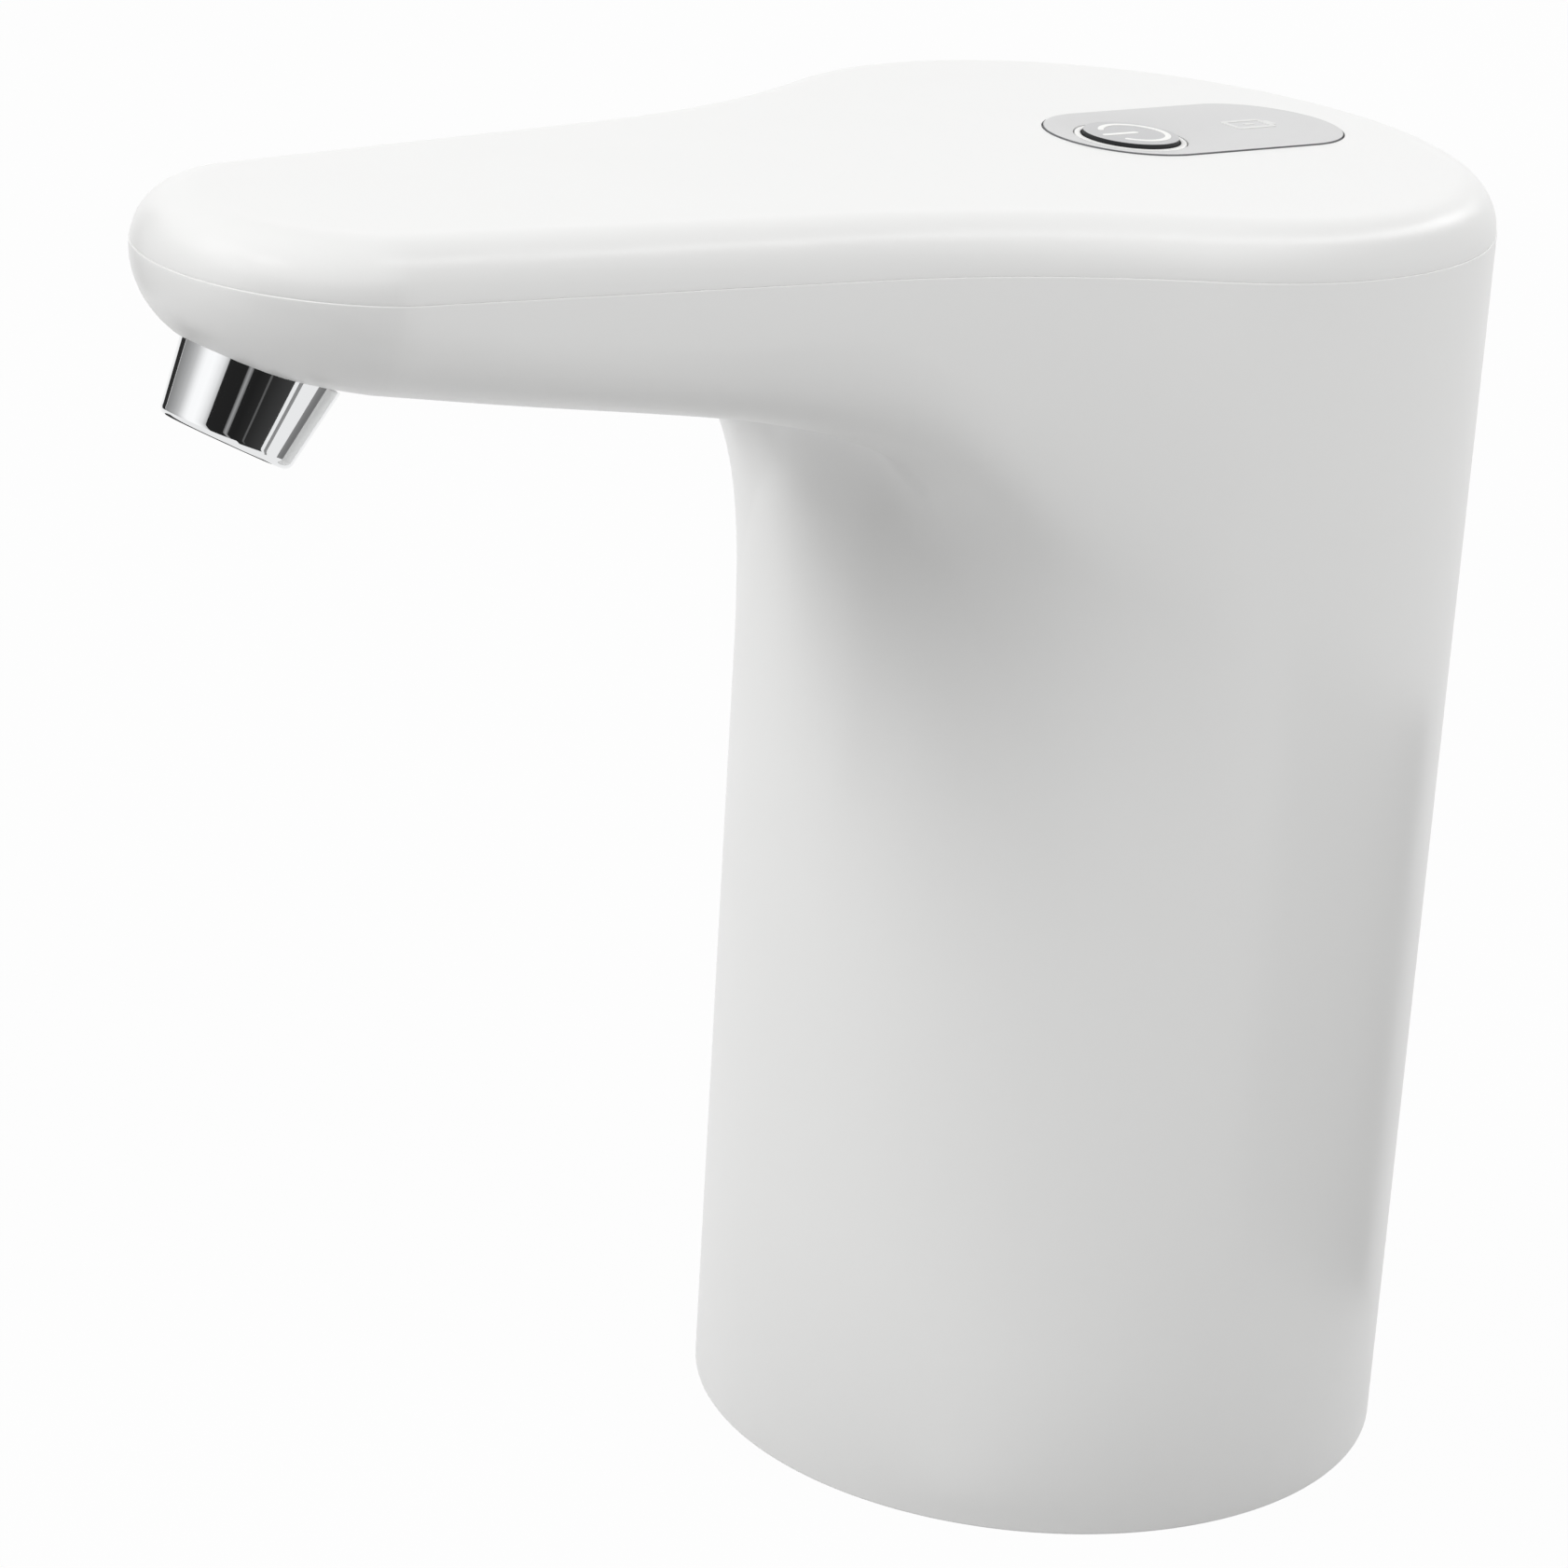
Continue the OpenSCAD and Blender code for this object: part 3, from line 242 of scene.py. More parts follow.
# Extruded silicone tube: milky and half clear
clear_silicone = finish("clear_silicone_tube", "#e3e6e5", 0.36, ior=1.41, grain=0.8,
                        Transmission_Weight=0.35)
# Moulded nitrile rubber: black, dull
black_nitrile = finish("black_nitrile_rubber", "#1c1c1d", 0.62, ior=1.52, grain=0.3, relief=0.006,
                       shade=0.1)
# Glass-filled nylon: grey, with the mottle of fibres near the skin
grey_nylon = finish("glass_filled_nylon_grey", "#8e9193", 0.5, ior=1.53, grain=0.22, relief=0.01,
                    shade=0.12)
# Moulded polyester, spark-eroded: black, fine matt grain
black_pbt = finish("black_polyester_moulded", "#222325", 0.46, ior=1.55, grain=0.18, relief=0.006,
                   shade=0.08)
# Zinc plating, clear passivated, barrel finished: bright grey with dull patches
zinc_steel = finish("zinc_plated_steel", "#b7bbbe", 0.35, metallic=1.0, grain=0.6, shade=0.12)
# Deep-drawn steel with dull nickel: warm grey metal
nickel_steel = finish("nickel_plated_drawn_steel", "#c6c4be", 0.34, metallic=1.0, grain=1.2,
                      relief=0.001, shade=0.06)
# Centreless-ground steel: bright, fine lay
ground_steel = finish("ground_hardened_steel", "#cbccce", 0.18, metallic=1.0, grain=0.1, relief=0.001,
                      shade=0.04)
# Sintered bronze: brown gold, open grain
sintered_bronze = finish("sintered_bronze", "#9b7748", 0.52, metallic=1.0, grain=0.15, relief=0.012,
                         shade=0.2)
# Pressed ferrite: charcoal, chalky
ferrite = finish("pressed_ferrite", "#3b3c3f", 0.66, grain=0.2, relief=0.008, shade=0.12)
# Copper wire with enamel: red brown gloss, wound rows
enamelled_copper = finish("enamelled_copper_winding", "#93502a", 0.34, metallic=0.8, grain=0.35,
                          relief=0.05, shade=0.25)
# Turned copper segments: pink gold, fine tool marks
turned_copper = finish("turned_copper", "#c07d50", 0.34, metallic=1.0, grain=0.12, relief=0.003, shade=0.1)
# Stamped brass, tinned: pale grey metal
tinned_brass = finish("tinned_brass_stamping", "#c9c6b8", 0.36, metallic=1.0, shade=0.08)
# Fibreglass board under solder mask: green, satin, faint weave
green_mask = finish("solder_mask_on_fibreglass", "#235e40", 0.4, ior=1.55, grain=0.5, relief=0.006,
                    shade=0.15)
# Cast epoxy of the lamps: clear, slightly warm
clear_epoxy = finish("cast_clear_epoxy", "#f2efe2", 0.16, ior=1.54, grain=0.6, relief=0.001,
                     Transmission_Weight=0.3)
# Shrink sleeve of the cell: plain blue film with a soft gloss
blue_sleeve = finish("blue_shrink_film", "#3c6ea8", 0.36, ior=1.54, grain=1.5, relief=0.004, shade=0.06)


# Meshes
def in_scene(name, data):
    """A new object with that data, in the scene."""
    made = bpy.data.objects.new(name, data)
    bpy.context.scene.collection.objects.link(made)
    return made


def smooth(mesh, sharp=SHARP):
    mesh.shade_smooth()
    mesh.set_sharp_from_angle(angle=math.radians(sharp))


def mesh_piece(name, points, faces, material, sharp=SHARP):
    """A mesh object from points in mm, its doubles merged and its faces turned outwards."""
    mesh = bpy.data.meshes.new(name)
    mesh.from_pydata([Vector(p) * MM for p in points], [], faces)
    mesh.materials.append(material)
    work = bmesh.new()
    work.from_mesh(mesh)
    bmesh.ops.remove_doubles(work, verts=work.verts, dist=1e-7)
    bmesh.ops.recalc_face_normals(work, faces=work.faces)
    work.to_mesh(mesh)
    work.free()
    smooth(mesh, sharp)
    return in_scene(name, mesh)


def settle(piece, sharp=SHARP):
    """Turns a piece with its modifiers into a plain mesh."""
    seen = piece.evaluated_get(bpy.context.evaluated_depsgraph_get())
    mesh = bpy.data.meshes.new_from_object(seen)
    piece.modifiers.clear()
    piece.data = mesh
    smooth(mesh, sharp)


def round_corner(p, b, q, w, steps):
    """Points of a round corner from p to q about b, where w is the sine of half the angle between."""
    made = []
    for i in range(steps + 1):
        t = i / steps
        k0, k1, k2 = (1 - t) ** 2, 2 * t * (1 - t) * w, t * t
        made.append((p * k0 + b * k1 + q * k2) / (k0 + k1 + k2))
    return made


def rounded(corners):
    """A closed outline of (radius, height) with each corner (radius, height, fillet) rounded."""
    made = []
    for i, (x, y, fillet) in enumerate(corners):
        here = Vector((x, y))
        back = Vector(corners[i - 1][:2]) - here
        ahead = Vector(corners[(i + 1) % len(corners)][:2]) - here
        if fillet <= 0:
            made.append(here)
            continue
        half = back.angle(ahead) / 2
        reach = min(fillet / math.tan(half), 0.49 * back.length, 0.49 * ahead.length)
        p = here + back.normalized() * reach
        q = here + ahead.normalized() * reach
        made += round_corner(p, here, q, math.sin(half), 6)
    return made


def turned(name, corners, material, place=Matrix.Identity(4), around=128):
    """A piece turned about the Z axis of place, from a closed outline of (radius, height, fillet)."""
    outline = rounded(corners)
    points = []
    for k in range(around):
        a = 2 * math.pi * k / around
        points += [place @ Vector((p.x * math.cos(a), p.x * math.sin(a), p.y)) for p in outline]
    n = len(outline)
    faces = []
    for k in range(around):
        j = (k + 1) % around
        faces += [(k * n + i, j * n + i, j * n + (i + 1) % n, k * n + (i + 1) % n) for i in range(n)]
    return mesh_piece(name, points, faces, material, TURNED_SHARP)


def prism(name, loops, material, place):
    """A closed skin over loops of equal length, capped at both ends."""
    n = len(loops[0])
    points = [place @ Vector(p) for loop in loops for p in loop]
    faces = []
    for r in range(len(loops) - 1):
        low, high = r * n, (r + 1) * n
        faces += [(low + i, low + (i + 1) % n, high + (i + 1) % n, high + i) for i in range(n)]
    faces.append(tuple(range(n - 1, -1, -1)))
    faces.append(tuple((len(loops) - 1) * n + i for i in range(n)))
    return mesh_piece(name, points, faces, material)


def cut(piece, *cutters, sharp=SHARP):
    """Takes the cutters out of a piece and deletes them."""
    for cutter in cutters:
        change = piece.modifiers.new("cut", "BOOLEAN")
        change.operation = "DIFFERENCE"
        change.solver = "EXACT"
        change.object = cutter
    settle(piece, sharp)
    for cutter in cutters:
        bpy.data.objects.remove(cutter)


def join(first, *others):
    """Puts other objects' meshes into the first one."""
    work = bmesh.new()
    for piece in (first, *others):
        work.from_mesh(piece.data)
    work.to_mesh(first.data)
    work.free()
    for piece in others:
        bpy.data.objects.remove(piece)
    smooth(first.data)


def paint(piece, material, place, chosen):
    """A second material on the faces for which chosen(centre, normal), in the frame of place, is true."""
    piece.data.materials.append(material)
    slot = len(piece.data.materials) - 1
    back = place.inverted()
    turn = back.to_3x3()
    for face in piece.data.polygons:
        if chosen(back @ (face.center / MM), turn @ face.normal):
            face.material_index = slot


def fit(piece, body, node):
    """Sets a piece on its body in place of the solid of that name."""
    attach(piece, body)
    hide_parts(node)


# Outline of head and spout: stations of point and outward normal, from the back round to the tip
TIP_HALF_W = SPOUT_HALF_W - SPOUT_TAPER * (SPOUT_REACH - 60)
TIP_CORNER_R = TIP_ROUND * TIP_HALF_W
TIP_FRONT_R = TIP_BULGE * TIP_HALF_W
SIDE_N = Vector((1, -SPOUT_TAPER)).normalized()
HEAD_C = Vector((0, -HEAD_SHIFT))
TIP_C = Vector((0, TIP_FRONT_R - SPOUT_REACH))


def arm_side(y):
    """The point on the arm's straight side at that y; its half width is given at y = -60."""
    return Vector((SPOUT_HALF_W + SPOUT_TAPER * (y + 60), y))


def side_y(offset, centre, distance):
    """y of the point on the arm's side whose offset point lies at that distance from centre."""
    o = arm_side(0) + offset * SIDE_N - centre
    square = 1 + SPOUT_TAPER ** 2
    b = (o.x * SPOUT_TAPER + o.y) / square
    k = (o.length_squared - distance ** 2) / square
    return -b - math.sqrt(max(0.0, b * b - k))


def arc_stations(centre, r, a0, a1, count, turn=1):
    made = []
    for i in range(count):
        a = a0 + (a1 - a0) * i / count
        out = Vector((math.cos(a), math.sin(a)))
        made.append((centre + r * out, turn * out))
    return made


def head_stations():
    flare_y = side_y(FLARE_R, HEAD_C, HEAD_R + FLARE_R)
    flare_c = arm_side(flare_y) + FLARE_R * SIDE_N
    corner_y = side_y(-TIP_CORNER_R, TIP_C, TIP_FRONT_R - TIP_CORNER_R)
    corner_c = arm_side(corner_y) - TIP_CORNER_R * SIDE_N
    back_end = math.atan2(flare_c.y - HEAD_C.y, flare_c.x - HEAD_C.x)
    side_a = math.atan2(SIDE_N.y, SIDE_N.x)
    corner_end = math.atan2(corner_c.y - TIP_C.y, corner_c.x - TIP_C.x)
    half = arc_stations(HEAD_C, HEAD_R, math.pi / 2, back_end, count=60)
    half += arc_stations(flare_c, FLARE_R, back_end + math.pi, side_a + math.pi, count=30, turn=-1)
    half += [(arm_side(flare_y + (corner_y - flare_y) * i / 40), SIDE_N.copy()) for i in range(40)]
    half += arc_stations(corner_c, TIP_CORNER_R, side_a, corner_end, count=28)
    half += arc_stations(TIP_C, TIP_FRONT_R, corner_end, -math.pi / 2, count=14)
    half.append((Vector((0, -SPOUT_REACH)), Vector((0, -1))))
    return eased(half + [(Vector((-p.x, p.y)), Vector((-n.x, n.y))) for p, n in half[-2:0:-1]])


def eased(loop, reach=1.5, neighbours=14):
    """The same closed outline with its sudden changes of curvature spread over a few millimetres."""
    n = len(loop)
    made = []
    for i in range(n):
        point, normal, total = Vector((0, 0)), Vector((0, 0)), 0.0
        for k in range(-neighbours, neighbours + 1):
            p, out = loop[(i + k) % n]
            share = (loop[(i + k + 1) % n][0] - loop[(i + k - 1) % n][0]).length
            weight = share * math.exp(-(p - loop[i][0]).length_squared / (2 * reach ** 2))
            point += p * weight
            normal += out * weight
            total += weight
        made.append((point / total, normal.normalized()))
    return made


def mix(a, b, t):
    return a + (b - a) * t


def from_front(p):
    """The angle of a point of the outline from the front, in degrees."""
    return math.degrees(math.atan2(abs(p.x), -p.y))


def through(turn, a):
    """How far the angle a has come through a turn: from 0 to 1, with a soft start and end."""
    t = max(0.0, min(1.0, (a - turn[0]) / (turn[1] - turn[0])))
    return t * t * (3 - 2 * t)


def capped(x):
    """x where it is small, and 1 where it is large, with a smooth change between."""
    return x / (1 + x ** 8) ** 0.125


def toward(start, end, reach):
    """The point that far from start towards end, and never quite past it."""
    way = end - start
    return start + way * capped(reach / way.length)


def corner(p, b, q, steps):
    """A round corner from p to q about b."""
    back, ahead = (p - b).normalized(), (q - b).normalized()
    return round_corner(p, b, q, math.sqrt(max(0.02, (1 - back.dot(ahead)) / 2)), steps)


def body_section(station, o, rows):
    """One upright section of the shell from base to parting line, o deep in the wall."""
    p, n = station
    top = IN_HEAD @ Vector((p.x - o * n.x, p.y - o * n.y, -COVER_H))
    a = from_front(p)
    turn = math.radians(a)
    ray = Vector((math.copysign(math.sin(turn), p.x), -math.cos(turn), 0))
    if a < CREASE_START - CREASE_EASE:
        fall = 0.0
    elif a < CREASE_START + CREASE_EASE:
        fall = (a - CREASE_START + CREASE_EASE) ** 2 / (4 * CREASE_EASE)
    else:
        fall = min(a, CREASE_END) - CREASE_START
    flank = through(FLANK_TURN, a)
    low = ARM_Z - CREASE_DROP * fall + o
    # lower edge of the side wall
    edge_z = low + ARM_RISE * (-p.y - BASE_R)
    base = ray * (BASE_R - o)
    plain_edge = mix(base, top, edge_z / top.z)
    draft = SIDE_DRAFT * (top.z - edge_z)
    wall_edge = Vector((top.x - draft * n.x, top.y - draft * n.y, edge_z))
    edge = mix(wall_edge, plain_edge, through(SIDE_TURN, a))
    # where the underside meets the column
    root_z = low - ARM_RISE * BASE_R * (1 - math.cos(turn)) - CREASE_DEPTH * flank
    root_r = mix(BASE_R, COLUMN_R, root_z / ARM_Z) - o
    plain_root = mix(base, top, root_z / top.z)
    root = mix(ray * root_r + Vector((0, 0, root_z)), plain_root, through(FADE_TURN, a))
    # the underside between them
    inward = SOFFIT_W * capped(SOFFIT_SHARE * (p.length - COLUMN_R) / SOFFIT_W) - o
    soffit_y = edge.y - inward * n.y
    soffit = Vector((edge.x - inward * n.x, soffit_y, low + ARM_RISE * (-soffit_y - BASE_R)))
    mid = mix(soffit, (edge + root) / 2, through(SOFFIT_TURN, a))
    lower = corner(toward(root, base, mix(FRONT_FILLET, SIDE_FILLET, flank)), root,
                   toward(root, mid, FRONT_FILLET), rows)
    start = toward(edge, mid, mix(ARM_ROUND, FLANK_ROUND, through(ROUND_TURN, a)))
    lift = mix(1, FLANK_LIFT, through(LIFT_TURN, a))
    upper = corner(start, edge, toward(edge, top, (start - edge).length * lift), rows)
    if o:
        return [base] + lower + [mid] + upper + [top]
    # rounded foot and rounded lip at the parting line
    quarter = [math.radians(22.5 * i) for i in range(LIP_ROWS)]
    foot = []
    for s in quarter:
        up = FOOT_ROUND * (1 - math.cos(s))
        foot.append(mix(base, lower[0], up / lower[0].z) - ray * FOOT_ROUND * (1 - math.sin(s)))
    rise = (top - upper[-1]).normalized()
    out = Vector((n.x, n.y, 0))
    lip = [top - rise * LIP_ROUND * (1 - math.sin(s)) - out * LIP_ROUND * (1 - math.cos(s)) for s in quarter]
    span = [mix(foot[-1], lower[0], k / 4) for k in (1, 2, 3)]
    return foot + span + lower + upper + lip


def relaxed(sections, stations, rounds=30):
    """The sections with their creases evened out where the arm grows from the column."""
    n, rows = len(sections), len(sections[0])
    angles = [from_front(p) for p, _ in stations]
    shares = [0.5 * through(RELAX_IN, a) * (1 - through(RELAX_OUT, a)) for a in angles]
    for _ in range(rounds):
        made = [list(s) for s in sections]
        for k, share in enumerate(shares):
            if not share:
                continue
            before, here, after = sections[k - 1], sections[k], sections[(k + 1) % n]
            for r in range(FOOT_ROWS + 1, rows - LIP_ROWS - 1):
                around = (before[r] + after[r] + here[r - 1] + here[r + 1]) / 4
                made[k][r] = mix(here[r], around, share)
        sections = made
    return sections


def lofted_shell(name, stations, material):
    """A hollow shell: smoothed sections outside, plain ones inside, joined at the foot and at the lip."""
    outer = relaxed([body_section(s, 0, 14) for s in stations], stations)
    inner = [body_section(s, WALL, 6) for s in stations]
    n = len(stations)
    rows_out, rows_in = len(outer[0]), len(inner[0])
    faces = []
    for k in range(n):
        j = (k + 1) % n
        out_k, out_j = k * rows_out, j * rows_out
        in_k, in_j = n * rows_out + k * rows_in, n * rows_out + j * rows_in
        faces += [(out_k + r, out_k + r + 1, out_j + r + 1, out_j + r) for r in range(rows_out - 1)]
        faces += [(in_j + r, in_j + r + 1, in_k + r + 1, in_k + r) for r in range(rows_in - 1)]
        faces.append((out_k + rows_out - 1, in_k + rows_in - 1, in_j + rows_in - 1, out_j + rows_out - 1))
        faces.append((out_k, out_j, in_j, in_k))
    return mesh_piece(name, [p for s in outer + inner for p in s], faces, material)


def stadium(r, pitch, z, count=48):
    """A loop with round ends on Y, in the button's frame."""
    turns = [math.pi * k / count for k in range(count + 1)]
    ends = [(r * math.cos(a), pitch + r * math.sin(a), z) for a in turns]
    return ends + [(-x, pitch - y, z) for x, y, z in ends]


def slot_loop(w, h, z, count=24):
    """A loop with round ends on X."""
    turns = [math.pi * k / count - math.pi / 2 for k in range(count + 1)]
    ends = [((w - h) / 2 + h / 2 * math.cos(a), h / 2 * math.sin(a), z) for a in turns]
    return ends + [(-x, -y, z) for x, y, z in ends]


def post(name, r, z0, z1, place, around=96):
    """A round cutter on the Z axis of place."""
    turns = [2 * math.pi * k / around for k in range(around)]
    loops = [[(r * math.cos(a), r * math.sin(a), z) for a in turns] for z in (z0, z1)]
    return prism(name, loops, white_abs, place)


stations = head_stations()


# Shell, with the charging mouth, the nozzle's hole and the ledge for the chassis
def body_shell():
    shell = lofted_shell("moulded_shell", stations, white_abs)
    behind = Matrix.Translation((0, HEAD_R - HEAD_SHIFT - 8, -MOUTH_DROP))
    mouth_place = IN_HEAD @ behind @ Matrix.Rotation(-math.pi / 2, 4, "X")
    mouth = prism("mouth", [slot_loop(MOUTH_W, MOUTH_H, z) for z in (0, 16)], white_abs, mouth_place)
    cut(shell, mouth, post("nozzle_hole", NOZZLE_TOP_R + FIT, -8, 6, IN_NOZZLE))
    ledge = turned("ledge", [(LEDGE_R0, LEDGE_Z0, 0.2), (LEDGE_R1, LEDGE_Z0, 0),
                             (LEDGE_R1, LEDGE_Z1, 0), (LEDGE_R0, LEDGE_Z1, 0.2)], white_abs)
    join(shell, ledge)
    fit(shell, "pump", "body_shell")


# Top cover: flat face, rounded edge, locating lip and three screw bosses
def inset_loop(d, z):
    return [(p.x - d * n.x, p.y - d * n.y, z) for p, n in stations]


def cover_skin():
    """The cover's loops, from its underside round the edge to the flat face."""
    loops = [inset_loop(WALL, -COVER_TOP), inset_loop(WALL, -COVER_H)]
    for s in (math.radians(90 - 30 * i) for i in range(4)):
        d = COVER_INSET + COVER_ROUND * (1 - math.cos(s))
        loops.append(inset_loop(d, COVER_ROUND * (1 - math.sin(s)) - COVER_H))
    for a in (math.radians(90 * i / 24) for i in range(1, 25)):
        z = COVER_H * (math.sin(a) - 1)
        if z > 2 * COVER_ROUND - COVER_H:
            loops.append(inset_loop(EDGE_ROUND - (EDGE_ROUND - COVER_INSET) * math.cos(a), z))
    return loops + [inset_loop(EDGE_ROUND + d, 0) for d in (0.4, 2.0)]


def top_cover():
    cover = prism("top_cover_moulding", cover_skin(), white_abs, IN_HEAD)
    seat = [stadium(PANEL_R + FIT, PANEL_PITCH, z) for z in (PANEL_RISE - PANEL_T, 5)]
    recess = prism("recess", seat, white_abs, IN_BUTTON)
    cut(cover, recess, post("ring_hole", RING_R + FIT, -8, 5, IN_BUTTON))
    # the lip runs along both sides and stops short of the tip
    lip = [(p, n) for p, n in stations if p.y > LIP_END_Y]
    half = len(lip) // 2
    d0 = WALL + 2 * FIT
    d1 = d0 + LIP_WALL
    z0 = -COVER_H - LIP_DEPTH
    profile = ((d0, z0), (d0, -COVER_TOP), (d1, -COVER_TOP), (d1, z0))
    added = []
    for part in (lip[:half], lip[half:]):
        loops = [[(p.x - d * n.x, p.y - d * n.y, z) for d, z in profile] for p, n in part]
        added.append(prism("lip", loops, white_abs, IN_HEAD))
    root = 0.1 - COVER_TOP
    boss = [(BOSS_HOLE_R, BOSS_END, 0.1), (BOSS_R, BOSS_END, 0.2), (BOSS_R, root, 0), (BOSS_HOLE_R, root, 0)]
    for x, y in BOSS_SPOTS:
        added.append(turned("boss", boss, white_abs, IN_HEAD @ Matrix.Translation((x, y, 0)), 32))
    join(cover, *added)
    fit(cover, "pump", "top_cover")


# Panel, light ring, button and icons
def control_panel():
    profile = ((0, PANEL_RISE - PANEL_T), (0, PANEL_RISE - PANEL_EDGE),
               (PANEL_EDGE, PANEL_RISE), (0.5, PANEL_RISE))
    loops = [stadium(PANEL_R - d, PANEL_PITCH, z) for d, z in profile]
    panel = prism("panel_overlay", loops, grey_overlay, IN_BUTTON)
    # finger dish down to the ring
    hole_r = RING_R + FIT
    slope = (DISH_R - hole_r) / (PANEL_RISE + RING_DROP)
    above = PANEL_RISE + 1
    dish = turned("dish", [(AXIS, -RING_DROP, 0), (hole_r, -RING_DROP, 0), (DISH_R + slope, above, 0),
                           (AXIS, above, 0)], grey_overlay, IN_BUTTON)
    cut(panel, post("panel_hole", hole_r, -3, 2, IN_BUTTON), dish, sharp=PANEL_SHARP)
    # painted shade on the overlay's outer side wall, not on the wall of the hole
    paint(panel, painted_shade_overlay_edge, IN_BUTTON, lambda at, way: abs(way.z) < 0.9 and at.xy.length > RING_R + 1)
    fit(panel, "pump", "control_panel")


def stroke(path, width, closed):
    """Left and right edges of a flat band along a path."""
    left, right = [], []
    for i, p in enumerate(path):
        before = path[i - 1] if i or closed else p
        after = path[(i + 1) % len(path)] if i + 1 < len(path) or closed else p
        along = (after - before).normalized()
        across = Vector((-along.y, along.x)) * width / 2
        left.append(p + across)
        right.append(p - across)
    return left, right


def printed_line(name, path, z0, material, place, closed=False):
    """A line of ink along a path: a closed ring, or open with round ends."""
    left, right = stroke(path, ICON_LINE, closed)
    z1 = z0 + INK
    if closed:
        n = len(path)
        points = [place @ Vector((p.x, p.y, z)) for z in (z0, z1) for side in (left, right) for p in side]
        faces = []
        for k in range(n):
            j = (k + 1) % n
            faces += [(2 * n + k, 2 * n + j, 3 * n + j, 3 * n + k), (k, n + k, n + j, j),
                      (k, j, 2 * n + j, 2 * n + k), (n + k, 3 * n + k, 3 * n + j, n + j)]
        return mesh_piece(name, points, faces, material)
    caps = []
    for end, beside in ((path[-1], path[-2]), (path[0], path[1])):
        out = (end - beside).normalized()
        across = Vector((-out.y, out.x))
        turns = [math.radians(a) for a in (60, 30, 0, -30, -60)]
        caps.append([end + (out * math.cos(a) + across * math.sin(a)) * ICON_LINE / 2 for a in turns])
    loop = left + caps[0] + right[::-1] + caps[1]
    return prism(name, [[(p.x, p.y, z) for p in loop] for z in (z0, z1)], material, place)


def power_icon():
    gap = math.asin(0.6)
    turns = [gap + 2 * (math.pi - gap) * k / 48 for k in range(49)]
    sweep = [Vector((ICON_R * math.sin(a), ICON_BACK - ICON_R * math.cos(a))) for a in turns]
    symbol = printed_line("power_symbol", sweep, BUTTON_RISE, white_ink, IN_BUTTON)
    bar = [Vector((0, ICON_BACK + ICON_R * (0.3 * k - 1.15))) for k in range(5)]
    join(symbol, printed_line("bar", bar, BUTTON_RISE, white_ink, IN_BUTTON))
    fit(symbol, "button", "power_icon")


def battery_icon():
    half_w, half_l = CELL_ICON_HALF_W - ICON_LINE / 2, CELL_ICON_HALF_L - ICON_LINE / 2
    corner_r = 0.25
    cell = []
    for x, y, start in ((1, 1, 0), (-1, 1, 90), (-1, -1, 180), (1, -1, 270)):
        centre = Vector((x * (half_w - corner_r), y * (half_l - corner_r)))
        turns = [math.radians(start + 15 * k) for k in range(7)]
        cell += [centre + corner_r * Vector((math.cos(a), math.sin(a))) for a in turns]
    spot = IN_BUTTON @ Matrix.Translation((0, 0.93 * PANEL_PITCH, PANEL_RISE))
    symbol = printed_line("battery_symbol", cell, 0, grey_ink, spot, True)
    cap = [Vector((0.32 * k - 0.48, half_l + ICON_LINE)) for k in range(4)]
    mark = [Vector((0, 0.25 * k - 0.375)) for k in range(4)]
    join(symbol, printed_line("cap", cap, 0, grey_ink, spot), printed_line("mark", mark, 0, grey_ink, spot))
    fit(symbol, "pump", "battery_icon")


def power_button():
    flange = RING_R + 0.8
    key = turned("power_key", [
        (AXIS, BUTTON_RISE, 0), (BUTTON_R, BUTTON_RISE, 0.05),
        (BUTTON_R, BUTTON_FLANGE_Z1, 0.1), (flange, BUTTON_FLANGE_Z1, 0.1),
        (flange, BUTTON_FLANGE_Z0, 0.1), (BUTTON_STEM_R, BUTTON_FLANGE_Z0, 0),
        (BUTTON_STEM_R, BUTTON_STEM_END, 0.2), (AXIS, BUTTON_STEM_END, 0)], grey_key, IN_BUTTON)
    # painted shade: the key's faces that don't look up, in near black
    paint(key, painted_shade_key_flank, IN_BUTTON, lambda at, way: way.z < 0.5)
    fit(key, "button", "power_button")


def light_ring():
    guide = turned("light_pipe_ring", [
        (GUIDE_R, -RING_DROP, 0.05), (RING_R, -RING_DROP, 0.1),
        (RING_R, RING_FLANGE_Z1, 0), (RING_FLANGE_R, RING_FLANGE_Z1, 0.1),
        (RING_FLANGE_R, RING_FLANGE_Z0, 0.1), (RING_R, RING_FLANGE_Z0, 0),
        (RING_R, RING_END, 0.1), (GUIDE_R, RING_END, 0.1)], opal_pc, IN_BUTTON)
    fit(guide, "pump", "light_ring")


# Chrome nozzle with its rolled rim
def spout_nozzle():
    rim = []
    for a in (math.radians(9 * i) for i in range(11)):
        r = NOZZLE_RIM_R - RIM_ROUND_IN * (1 - math.sin(a))
        rim.append((r, RIM_ROUND_UP * (1 - math.cos(a)) - NOZZLE_LEN, 0))
    outline = [
        (NOZZLE_BORE_R, NOZZLE_FLOOR_Z0, 0.2), (NOZZLE_MOUTH_R, NOZZLE_FLOOR_Z0, 0),
        (NOZZLE_MOUTH_R, 0.3 - NOZZLE_LEN, 0.1), *rim,
        (NOZZLE_TOP_R, NOZZLE_SHOULDER, 0.15), (NOZZLE_NECK_R, NOZZLE_SHOULDER, 0),
        (NOZZLE_NECK_R, NOZZLE_NECK_TOP, 0.2), (NOZZLE_NECK_BORE_R, NOZZLE_NECK_TOP, 0.2),
        (NOZZLE_NECK_BORE_R, NOZZLE_FLOOR_Z1, 0), (NOZZLE_BORE_R, NOZZLE_FLOOR_Z1, 0.2)]
    nozzle = turned("chrome_nozzle", outline, bright_chrome, IN_NOZZLE, around=160)
    fit(nozzle, "pump", "spout_nozzle")


